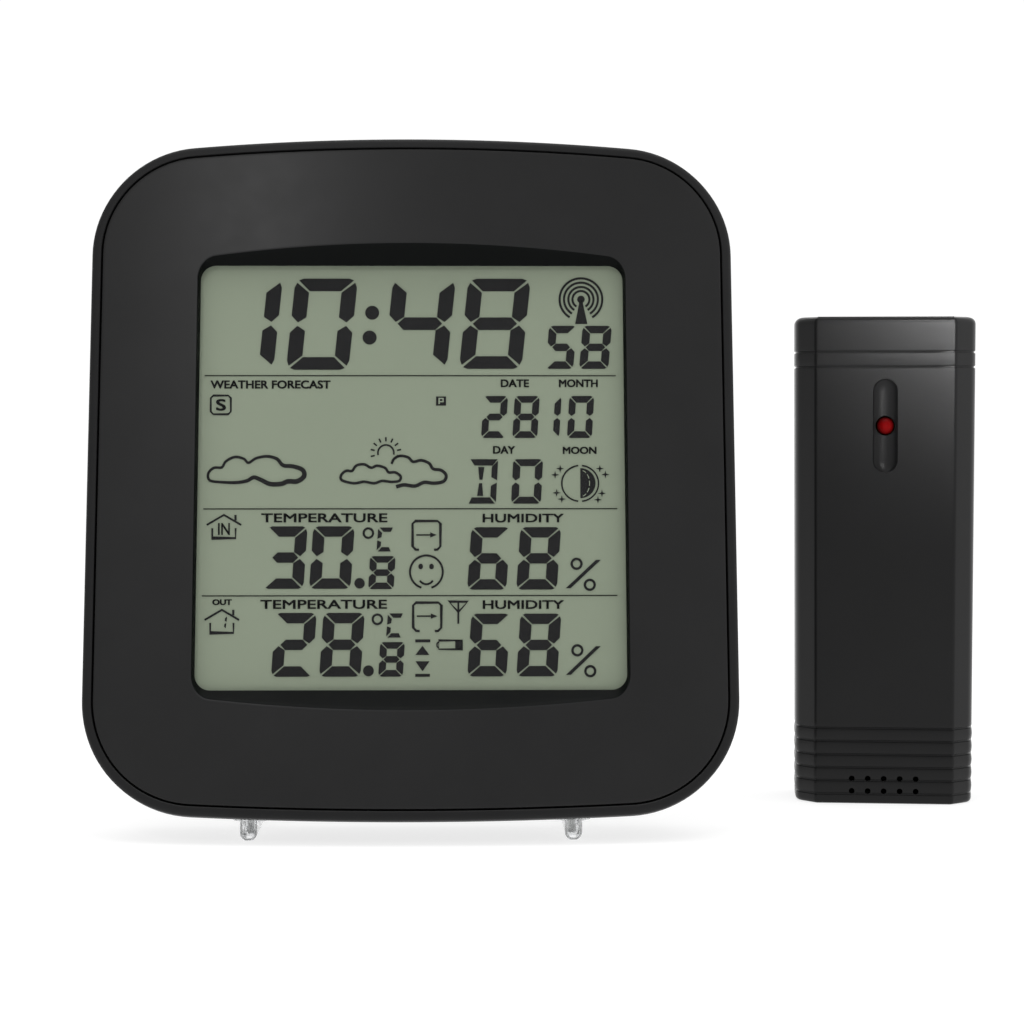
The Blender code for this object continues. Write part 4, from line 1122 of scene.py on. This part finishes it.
# Outdoor row
word("OUT", 212.5, 232, 599.4, 605)
house(222, 608.6, 619.8, 11.6, (622.7, 632.6))
stroke([(233.4, 609.8), (233.4, 615.2)], 2.2)
shape([(226.6, 616.6), (227.2, 617.4), (226.6, 621.6), (224.8, 620.6), (225.2, 618.2)])
shape([(226.4, 622.8), (225.8, 628.0), (224.2, 626.4), (224.6, 623.8)])
word("TEMPERATURE", 260.3, 386.8, 600, 609)
digit("2", 271, 316.6, 613, 676, 10.2, 12.0, 0.07, 1.0, 3.0)
digit("8", 319, 364.6, 613, 676, 10.2, 12.0, 0.07, 1.0, 3.0)
disc(368.2, 670.3, 5.4)
digit("8", 378, 404.6, 642, 676, 6.4, 7.2, 0.06, 0.7, 1.8)
ring(377.2, 619.4, 4.7, 2.2)
sign("out", 386.0, 402.6, 613.6)
trend(412, 442, 602, 631.3, 616.3)
stroke([(448.8, 602), (467.4, 602), (458.1, 612.4)], 1.9, closed=True)
stroke([(458.1, 603), (458.1, 623.8)], 1.9)
word("HUMIDITY", 482.5, 563.6, 600.7, 609.3)
digit("6", 467, 510.4, 614, 676, 10.2, 12.0, 0.07, 1.0, 3.0)
digit("8", 516, 561.2, 614, 676, 10.2, 12.0, 0.07, 1.0, 3.0)
percent(646.3, 674.6, (577.2, 650.4), (590.1, 671))
stroke([(415, 640.8), (430, 640.8)], 2.8)
shape([(422.2, 645.6), (429.2, 654.7), (415.2, 654.7)])
shape([(415.2, 661), (429.2, 661), (422.2, 670.7)])
stroke([(415, 674.8), (429.6, 674.8)], 2.8)
stroke([(438.5, 640.4), (462.2, 640.4), (462.2, 649.1), (438.5, 649.1)], 1.2, closed=True)
stroke([(438.2, 641.8), (436.7, 643.4), (436.7, 646.2), (438.2, 647.8)], 1.2)
shape([(455.0, 640.2), (462.4, 640.2), (462.4, 649.3), (455.0, 649.3)])

build(ink, "lcd_segments", SEGMENT, TILT, "console", sharp=20.0, keep_normals=True)
build(thin, "lcd_rules", LINE, TILT, "console", sharp=20.0)

# ------------------------------------------------------------------ feet

PIVOT_Y, FOOT_TOE, FOOT_HEEL, FOOT_W, FOOT_H, FOOT_FLAT = 19.0, 11.5, 28.0, 3.3, 4.5, 1.4


def foot_section(y, inset):
    """Upright sides, a round underside with a narrow flat, and softened upper edges."""
    half = FOOT_W / 2
    begin = math.asin(FOOT_FLAT / 2 / half)
    side = []
    for step in range(13):
        angle = begin + (math.pi / 2 - begin) * step / 12
        side.append((half * math.sin(angle), half * (math.cos(begin) - math.cos(angle))))
    side += [(half, FOOT_H - 0.45), (half - 0.06, FOOT_H - 0.2), (half - 0.2, FOOT_H - 0.06), (half - 0.45, FOOT_H)]
    whole = side[::-1] + [(-x, z) for x, z in side]
    middle = FOOT_H / 2
    return [(x * (half - inset) / half, y, middle + (z - middle) * (middle - inset) / middle) for x, z in whole]


for side, hand in ((-1, "left"), (1, "right")):
    bm = bmesh.new()
    stations = [(-FOOT_TOE, 0.62), (-FOOT_TOE + 0.10, 0.36), (-FOOT_TOE + 0.28, 0.18), (-FOOT_TOE + 0.55, 0.06), (-FOOT_TOE + 0.95, 0.0)]
    stations += [(-FOOT_TOE + 4.0, 0.0), (-4.2, 0.0), (4.2, 0.0), (FOOT_HEEL - 4.0, 0.0)]
    stations += [(FOOT_HEEL - 0.95, 0.0), (FOOT_HEEL - 0.55, 0.06), (FOOT_HEEL - 0.28, 0.18), (FOOT_HEEL - 0.10, 0.36), (FOOT_HEEL, 0.62)]
    loft(bm, [foot_section(y, inset) for y, inset in stations])
    spot = Matrix.Translation(Vector((side * 31.0, PIVOT_Y, 0.0)))
    foot = build(bm, "clear_foot_" + hand, CLEAR, GROUND @ spot, "foot_" + hand, ("foot_" + hand,), sharp=40.0)
    cuts = []
    bm = bmesh.new()
    turned(bm, [(3.8, 2.6), (4.0, 2.8), (4.0, FOOT_H - 0.3), (3.7, FOOT_H)], (0, 0, 0), "Z", 56)
    cuts.append((cutter(bm, "pad", GROUND @ spot), "UNION"))
    bm = bmesh.new()
    add_cyl(bm, 1.05, (0, 0, -1.0), (0, 0, 6.0), 32)
    cuts.append((cutter(bm, "hole", GROUND @ spot), "DIFFERENCE"))
    bm = bmesh.new()
    add_cyl(bm, 1.3, (0, 0, -1.0), (0, 0, 1.9), 40)
    cuts.append((cutter(bm, "seat", GROUND @ spot), "DIFFERENCE"))
    bake(foot, cuts)

# ------------------------------------------------------------------ outdoor sensor

SENSOR_W, SENSOR_H, SENSOR_D, PARTING, PANEL_W, FACET_D = 37.0, 101.3, 22.0, 13.0, 28.3, 4.6
TOP_GROOVES = (94.0, 90.9)
LOW_GROOVES = (15.8, 13.1, 10.3, 7.6, 4.9, 2.1)
VENT_X = (-6.6, -3.3, 0.0, 3.3, 6.6)
VENT_Z = (5.3, 2.7)
LED_Z = 78.7


def sensor_section(z, inset):
    """The front shell across its width at one height: flat panel, two sloping facets with a soft outer edge, and the sides back to the parting line."""
    panel, side = PANEL_W / 2, SENSOR_W / 2
    corner = Vector((side - 0.25, FACET_D))
    fold = Vector((panel, 0.0))
    slope = (corner - fold).normalized()
    up = Vector((0.03, 1.0)).normalized()
    run = []
    for step in range(5):
        t = step / 4
        a, b, c = fold - Vector((0.5, 0.0)), fold, fold + slope * 0.5
        run.append(a * (1 - t) ** 2 + b * 2 * t * (1 - t) + c * t * t)
    for t in (0.35, 0.62):
        run.append(fold + (corner - fold) * t)
    for step in range(9):
        t = step / 8
        a, b, c = corner - slope * 1.5, corner, corner + up * 1.7
        run.append(a * (1 - t) ** 2 + b * 2 * t * (1 - t) + c * t * t)
    run.append(Vector((side - 0.06, PARTING - 2.5)))
    run.append(Vector((side, PARTING - 0.25)))
    run.append(Vector((side - 0.2, PARTING)))
    out = []
    for index, point in enumerate(run):
        before, after = run[max(index - 1, 0)], run[min(index + 1, len(run) - 1)]
        along = (after - before).normalized()
        if index == 0:
            along = Vector((1.0, 0.0))
        if index >= len(run) - 2:
            along = Vector((0.0, 1.0))
        inward = Vector((-along.y, along.x))
        if index == len(run) - 1:
            inward = Vector((-1.0, 0.0))
        out.append(point + inward * inset)
    out[-1].y = PARTING
    # The flat panel runs up to the end with only a slight rounding, and the ribs swell less on it than at the sides.
    flat = min(inset, 0.22) if z > SENSOR_H / 2 else inset
    flat = max(flat, -0.03)
    middle = [Vector((panel * k / 5, flat)) for k in (-4, -3, -2, -1, 0, 1, 2, 3, 4)]
    for point in middle:
        point.x *= 0.92
    if z > SENSOR_H - 2.0 or inset < 0.0:
        for index in range(5):
            share = index / 4
            out[index].y += (flat - inset) * (1.0 - share * 0.6)
    if inset < 0.6:
        for point in middle + out[:7]:
            point.y = point.y - inset * 0.45 if point.y > 0.0 else point.y
    # The housing widens a little towards its top.
    flare = 1.0 + 0.024 * z / SENSOR_H
    for point in middle + out:
        point.x *= flare
    left = [(-p.x, p.y) for p in out[::-1]]
    return [(x, y, z) for x, y in left] + [(p.x, p.y, z) for p in middle] + [(p.x, p.y, z) for p in out]


levels = {}


def level(z, inset):
    levels[round(z, 4)] = inset


for z, inset in ((0.0, 0.95), (0.07, 0.62), (0.20, 0.36), (0.42, 0.16), (0.70, 0.04), (1.0, 0.0)):
    level(z, inset)
for z, inset in ((1.5, 0.0), (1.15, 0.04), (0.85, 0.14), (0.58, 0.32), (0.34, 0.58), (0.15, 0.95), (0.03, 1.4), (0.0, 1.7)):
    level(SENSOR_H - z, inset)
for zg in TOP_GROOVES:
    for dz, inset in ((-0.34, 0.0), (-0.22, 0.05), (-0.14, 0.26), (0.14, 0.30), (0.26, 0.06), (0.38, 0.0)):
        level(zg + dz, inset)
for index, zg in enumerate(LOW_GROOVES):
    deep = 1.0 if zg > 2.5 else 0.8
    for dz, inset in ((-0.40, 0.0), (-0.24, 0.05), (-0.15, 0.34), (0.13, 0.38), (0.24, 0.06), (0.42, 0.0)):
        level(zg + dz, inset * deep)
for a, b in zip(LOW_GROOVES, LOW_GROOVES[1:]):
    middle = (a + b) / 2
    for dz, inset in ((-0.55, -0.05), (0.0, -0.10), (0.55, -0.05)):
        level(middle + dz, inset)
for z in (17.0, 19.0, 24.0, 30.0, 38.0, 46.0, 54.0, 62.0, 68.0, 74.0, 80.0, 85.0, 88.0, 92.45, 96.5, 98.4):
    level(z, 0.0)

bm = bmesh.new()
loft(bm, [sensor_section(z, levels[z]) for z in sorted(levels)])
front = build(bm, "sensor_front_moulding", (SENSOR_SKIN,), SENSOR, "outdoor_sensor", ("sensor_front_shell",), sharp=33.0)


def shell_loop(w, h, r, y, cz=SENSOR_H / 2, steps=10):
    return [(x, y, z) for x, z in rounded(w, h, r, 0, cz, steps)]


cuts = []
bm = bmesh.new()
loft(bm, [shell_loop(PANEL_W - 2.0, SENSOR_H - 4.0, 0.6, 1.8, steps=3), shell_loop(SENSOR_W - 4.2, SENSOR_H - 3.6, 0.8, FACET_D + 1.0, steps=3), shell_loop(SENSOR_W - 3.6, SENSOR_H - 3.6, 0.8, PARTING + 1, steps=3)])
cuts.append((cutter(bm, "hollow", SENSOR), "DIFFERENCE"))


def scoop_section(z, half, deep):
    """Steep sides, then a shallow trough."""
    points = [(-half, -1.0), (-half, 0.12)]
    points += [(half * math.sin(math.pi / 2 * k / 8) * 0.97, 0.12 + (deep - 0.12) * math.cos(math.pi / 2 * k / 8)) for k in range(-7, 8)]
    points += [(half, 0.12), (half, -1.0)]
    return [(x, y, z) for x, y in points]


bm = bmesh.new()
half_w, half_l = 2.55, 9.75
straight = half_l - half_w
sections = []
for k in range(-9, 10):
    angle = math.pi / 2 * k / 9 * 0.985
    w = half_w * math.cos(angle)
    dz = half_w * math.sin(angle) + (straight if k > 0 else -straight if k < 0 else 0.0)
    sections.append((LED_Z + dz, w, 0.45 + 0.55 * w / half_w))
sections.append((LED_Z + straight, half_w, 1.0))
sections.append((LED_Z - straight, half_w, 1.0))
loft(bm, [scoop_section(*one) for one in sorted(sections)])
cuts.append((cutter(bm, "scoop", SENSOR), "DIFFERENCE"))
bm = bmesh.new()
add_cyl(bm, 2.05, (0, 0.2, LED_Z), (0, 3.0, LED_Z), 48)
for x in VENT_X:
    for z in VENT_Z:
        add_cyl(bm, 0.6, (x, -1.0, z), (x, 3.0, z), 24)
cuts.append((cutter(bm, "vents", SENSOR), "DIFFERENCE"))
bake(front, cuts)

bm = bmesh.new()
turned(
    bm,
    [(0.02, -0.38), (0.35, -0.35), (0.70, -0.24), (1.05, -0.05), (1.36, 0.22), (1.60, 0.55), (1.74, 0.88), (1.80, 1.25), (1.80, 3.2), (1.95, 3.3), (1.95, 3.9), (1.80, 3.95), (1.80, 4.9)],
    (0, 0, LED_Z),
    "Y",
    48,
)
build(bm, "sensor_led_dome", LED, SENSOR, "outdoor_sensor", ("sensor_led",), sharp=50.0)

bm = bmesh.new()
loft(
    bm,
    [
        shell_loop(SENSOR_W - 3.2, SENSOR_H - 3.2, 2.2, SENSOR_D),
        shell_loop(SENSOR_W - 2.3, SENSOR_H - 2.3, 2.1, SENSOR_D - 0.08),
        shell_loop(SENSOR_W - 1.4, SENSOR_H - 1.4, 2.0, SENSOR_D - 0.34),
        shell_loop(SENSOR_W - 0.7, SENSOR_H - 0.7, 1.9, SENSOR_D - 0.78),
        shell_loop(SENSOR_W - 0.2, SENSOR_H - 0.2, 1.8, SENSOR_D - 1.4),
        shell_loop(SENSOR_W, SENSOR_H, 1.7, SENSOR_D - 2.1),
        shell_loop(SENSOR_W, SENSOR_H, 1.7, PARTING + 0.55),
        shell_loop(SENSOR_W - 0.35, SENSOR_H - 0.35, 1.5, PARTING + 0.3),
        shell_loop(SENSOR_W - 3.6, SENSOR_H - 3.6, 0.8, PARTING + 0.3),
        shell_loop(SENSOR_W - 3.6, SENSOR_H - 3.6, 0.8, SENSOR_D - 1.8),
    ],
)
rear_shell = build(bm, "sensor_rear_moulding", (BACK,), SENSOR, "outdoor_sensor", ("sensor_rear_shell",), sharp=33.0)
TRAY_X, TRAY_Z0, TRAY_Z1, TRAY_Y = 12.6, 25.4, 76.6, 7.6
cuts = []
bm = bmesh.new()
add_box(bm, (-TRAY_X - 1.0, TRAY_Y, TRAY_Z0 - 1.0), (TRAY_X + 1.0, SENSOR_D - 1.0, TRAY_Z1 + 1.0))
cuts.append((cutter(bm, "tray", SENSOR), "UNION"))
bm = bmesh.new()
add_box(bm, (-TRAY_X, TRAY_Y + 1.0, TRAY_Z0), (TRAY_X, SENSOR_D + 2, TRAY_Z1))
cuts.append((cutter(bm, "tray_cut", SENSOR), "DIFFERENCE"))
bm = bmesh.new()
key = []
rise = math.asin(2.3 / 4.0)
for step in range(49):
    angle = math.pi / 2 + rise + (2 * math.pi - 2 * rise) * step / 48
    key.append((4.0 * math.cos(angle), 84.5 + 4.0 * math.sin(angle)))
for step in range(17):
    angle = math.pi * step / 16
    key.append((2.3 * math.cos(angle), 91.5 + 2.3 * math.sin(angle)))
prism(bm, key, SENSOR_D - 4, SENSOR_D + 2)
prism(bm, rounded(9.0, 3.6, 0.6, -5.0, 16.0, 4), SENSOR_D - 4, SENSOR_D + 2)
add_cyl(bm, 1.9, (8.0, SENSOR_D - 4, 16.0), (8.0, SENSOR_D + 2, 16.0), 40)
for x, z in ((12.0, 8.0), (-12.0, 96.0)):
    add_cyl(bm, 1.3, (x, SENSOR_D - 4, z), (x, SENSOR_D + 2, z), 32)
cuts.append((cutter(bm, "back_openings", SENSOR), "DIFFERENCE"))
bm = bmesh.new()
for x, z in ((12.0, 8.0), (-12.0, 96.0)):
    add_cyl(bm, 2.4, (x, SENSOR_D - 1.0, z), (x, SENSOR_D + 2, z), 40)
prism(bm, rounded(2 * TRAY_X + 1.6, TRAY_Z1 - TRAY_Z0 + 1.6, 1.2, 0, (TRAY_Z0 + TRAY_Z1) / 2, 5), SENSOR_D - 0.35, SENSOR_D + 2)
cuts.append((cutter(bm, "seats", SENSOR), "DIFFERENCE"))
bake(rear_shell, cuts)

for (x, z), hand in (((12.0, 8.0), "lower"), ((-12.0, 96.0), "upper")):
    phillips("small_screw_" + hand, 2.1, (x, SENSOR_D, z), "sensor_screw_" + hand, "outdoor_sensor", SENSOR, 0.15)

bm = bmesh.new()
tray_z = (TRAY_Z0 + TRAY_Z1) / 2
w, h = 2 * TRAY_X - 0.8, TRAY_Z1 - TRAY_Z0 - 0.8
loft(
    bm,
    [
        shell_loop(w, h, 0.8, SENSOR_D - 1.5, tray_z, 5),
        shell_loop(w, h, 0.8, SENSOR_D - 0.34, tray_z, 5),
        shell_loop(w + 1.9, h + 1.9, 1.1, SENSOR_D - 0.30, tray_z, 5),
        shell_loop(w + 1.9, h + 1.9, 1.1, SENSOR_D - 0.12, tray_z, 5),
        shell_loop(w + 1.6, h + 1.6, 1.0, SENSOR_D, tray_z, 5),
    ],
)
door = build(bm, "sensor_door_moulding", (BACK,), SENSOR, "sensor_battery_door", ("sensor_battery_door",), sharp=33.0)
bm = bmesh.new()
prism(bm, rounded(12.0, 5.0, 2.4, 0, TRAY_Z1 - 5.5, 8), SENSOR_D - 0.4, SENSOR_D + 1.0)
bake(door, [(cutter(bm, "grip", SENSOR), "DIFFERENCE")])
bm = bmesh.new()
for step in range(4):
    z = TRAY_Z1 - 7.0 + step * 1.0
    half = 5.0 - abs(step - 1.5) * 0.5
    loft(bm, [[(-half, SENSOR_D - 0.41, z - 0.2), (-half, SENSOR_D - 0.1, z), (-half, SENSOR_D - 0.41, z + 0.2)], [(half, SENSOR_D - 0.41, z - 0.2), (half, SENSOR_D - 0.1, z), (half, SENSOR_D - 0.41, z + 0.2)]])
build(bm, "sensor_door_grip", BACK, SENSOR, "sensor_battery_door", sharp=30.0)

bm = bmesh.new()


def knob_loop(w, h, r, y):
    return [(px, y, pz) for px, pz in rounded(w, h, r, -5.0, 16.0, 5)]


loft(bm, [knob_loop(3.2, 3.0, 0.4, SENSOR_D - 5.0), knob_loop(3.2, 3.0, 0.4, SENSOR_D - 0.5), knob_loop(3.0, 2.8, 0.4, SENSOR_D - 0.28), knob_loop(2.5, 2.4, 0.3, SENSOR_D - 0.2)])
knob = build(bm, "channel_switch_slider", (WHITE,), SENSOR, "channel_switch_knob", ("channel_switch_knob",), sharp=33.0)
bm = bmesh.new()
for dx in (-0.8, 0.0, 0.8):
    add_box(bm, (-5.0 + dx - 0.18, SENSOR_D - 0.45, 14.0), (-5.0 + dx + 0.18, SENSOR_D + 1, 18.0))
bake(knob, [(cutter(bm, "ribs", SENSOR), "DIFFERENCE")])

bm = bmesh.new()
turned(bm, [(0.03, -0.38), (0.7, -0.40), (1.2, -0.48), (1.48, -0.66), (1.6, -0.95), (1.6, -6.0)], (8.0, SENSOR_D, 16.0), "Y", 40)
build(bm, "reset_button_rubber", (RUBBER,), SENSOR, "sensor_reset_button", ("sensor_reset_button",), sharp=40.0)

# ------------------------------------------------------------------ finishes of the pieces taken from the model as they are



NAME_TO_SKIN = (
    ("display_window", WINDOW),
    ("lcd_reflector", FOIL),
    ("lcd_connector_strip", RUBBER),
    ("lcd_frame", WHITE),
    ("main_board", BOARD),
    ("sensor_board", BOARD),
    ("radio_receiver_board", BOARD),
    ("controller_chip", CHIP),
    ("sensor_controller_chip", CHIP),
    ("clock_crystal", STEEL),
    ("alarm_buzzer", CHIP),
    ("receiver_antenna", COPPER),
    ("sensor_antenna", COPPER),
    ("clock_antenna_coil", COPPER),
    ("clock_ferrite_rod", FERRITE),
    ("indoor_climate_sensor", WHITE),
    ("sensor_humidity_element", WHITE),
    ("keypad_mat", RUBBER),
    ("foot_pin", STEEL),
    ("aa_spring", STEEL),
    ("aaa_spring", STEEL),
    ("aa_contact", STEEL),
    ("aaa_contact", STEEL),
    ("sensor_transmitter", STEEL),
)


def sleeve(node):
    """A plain two-tone cell sleeve, banded along the cell's own longest side."""
    low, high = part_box(node)
    sizes = [b - a for a, b in zip(low, high)]
    axis = sizes.index(max(sizes))
    small = min(sizes) / 2
    # The positive end is the one with the narrow terminal.
    plus = {"aa_cell_lower": 1, "aa_cell_upper": -1, "aaa_cell_right": 1, "aaa_cell_left": -1}[node]
    start = low[axis] + sizes[axis] * (0.74 if plus > 0 else 0.26)
    band = (start - 0.00002 * plus, start + 0.00002 * plus)
    return cell_material("XYZ"[axis], node + "_sleeve", band)


replaced = {
    "front_bezel", "rear_case", "lcd_panel", "console_battery_door", "foot_left", "foot_right", "sensor_front_shell", "sensor_rear_shell", "sensor_led",
    "sensor_battery_door", "channel_switch_knob", "sensor_reset_button",
} | {"button_" + one for one in BUTTON_NAMES} | {name for name in NODES if "screw" in name}
for name, node in NODES.items():
    if name in replaced:
        continue
    skin = None
    if "_cell_" in name:
        skin = sleeve(name)
    else:
        for begin, one in NAME_TO_SKIN:
            if name.startswith(begin):
                skin = one
                break
    if skin is None:
        raise RuntimeError("no finish for " + name)
    node.data.materials.clear()
    node.data.materials.append(skin)

for obj in bpy.data.objects:
    if obj.type == "MESH" and obj.get("weighted"):
        weigh(obj)

# ------------------------------------------------------------------ floor, light and camera

floor_mesh = bpy.data.meshes.new("floor")
floor_mesh.from_pydata([(-6, -6, 0), (6, -6, 0), (6, 6, 0), (-6, 6, 0)], [], [(0, 1, 2, 3)])
floor = bpy.data.objects.new("floor", floor_mesh)
bpy.context.scene.collection.objects.link(floor)
ground, tree, shader = nodes_of("pale_floor")
tree.links.new(ramp(tree, noise(tree, 3.0), (0.30, 0.30, 0.30), (0.32, 0.32, 0.32)), shader.inputs["Base Color"])
shader.inputs["Emission Color"].default_value = (1.0, 1.0, 1.0, 1.0)
shader.inputs["Emission Strength"].default_value = 0.78
shader.inputs["Roughness"].default_value = 0.9
shader.inputs["Specular IOR Level"].default_value = 0.0
floor_mesh.materials.append(ground)

world = bpy.data.worlds.new("studio")
bpy.context.scene.world = world
world.use_nodes = True
world.node_tree.nodes["Background"].inputs["Color"].default_value = (1.0, 1.0, 1.0, 1.0)
backdrop = world.node_tree.nodes["Background"]
# A bright backdrop behind the object, falling off round to a dimmer room in front of it.
around = world.node_tree.nodes.new("ShaderNodeTexCoord")
along = world.node_tree.nodes.new("ShaderNodeVectorMath")
along.operation = "DOT_PRODUCT"
along.inputs[1].default_value = (0.55, 0.78, 0.30)
level_of = world.node_tree.nodes.new("ShaderNodeMapRange")
level_of.interpolation_type = "SMOOTHSTEP"
level_of.inputs["From Min"].default_value = -0.55
level_of.inputs["From Max"].default_value = 0.60
level_of.inputs["To Min"].default_value = 0.42
level_of.inputs["To Max"].default_value = 1.04
world.node_tree.links.new(around.outputs["Generated"], along.inputs[0])
world.node_tree.links.new(along.outputs["Value"], level_of.inputs["Value"])
world.node_tree.links.new(level_of.outputs["Result"], backdrop.inputs["Strength"])


def lamp(name, where, at, size, power, spread=180.0, tint=(1.0, 1.0, 1.0)):
    data = bpy.data.lights.new(name, "AREA")
    data.shape = "DISK"
    data.size = size
    data.energy = power
    data.color = tint
    data.spread = math.radians(spread)
    obj = bpy.data.objects.new(name, data)
    bpy.context.scene.collection.objects.link(obj)
    where, at = (MIDDLE + Vector(where)) * MM, (MIDDLE + Vector(at)) * MM
    obj.location = where
    obj.rotation_euler = (at - where).to_track_quat("-Z", "Y").to_euler()
    return obj


lamp("upper_left", (-172, -480, 428), (-25, 25, 110), 0.10, 0.35)
lamp("upper_right", (120, -204, 134), (126, 55, 116), 0.035, 0.018, 26.0)
lamp("overhead", (20, -60, 1200), (20, 20, 0), 1.2, 6.0)

TARGET = MIDDLE * MM + Vector((0.01907, 0.0, 0.06298))
elevation, azimuth = math.radians(2.13), math.radians(1.13)
forward = Vector((math.cos(elevation) * math.sin(azimuth), math.cos(elevation) * math.cos(azimuth), -math.sin(elevation)))
camera_data = bpy.data.cameras.new("camera")
camera_data.sensor_width = 36.0
camera_data.lens = 101.35
camera_data.clip_start = 0.01
camera_data.clip_end = 50.0
camera = bpy.data.objects.new("camera", camera_data)
bpy.context.scene.collection.objects.link(camera)
camera.location = TARGET - 0.540 * forward
camera.rotation_euler = forward.to_track_quat("-Z", "Y").to_euler()
bpy.context.scene.camera = camera
bpy.context.scene.view_settings.view_transform = "Standard"
bpy.context.scene.view_settings.look = "None"
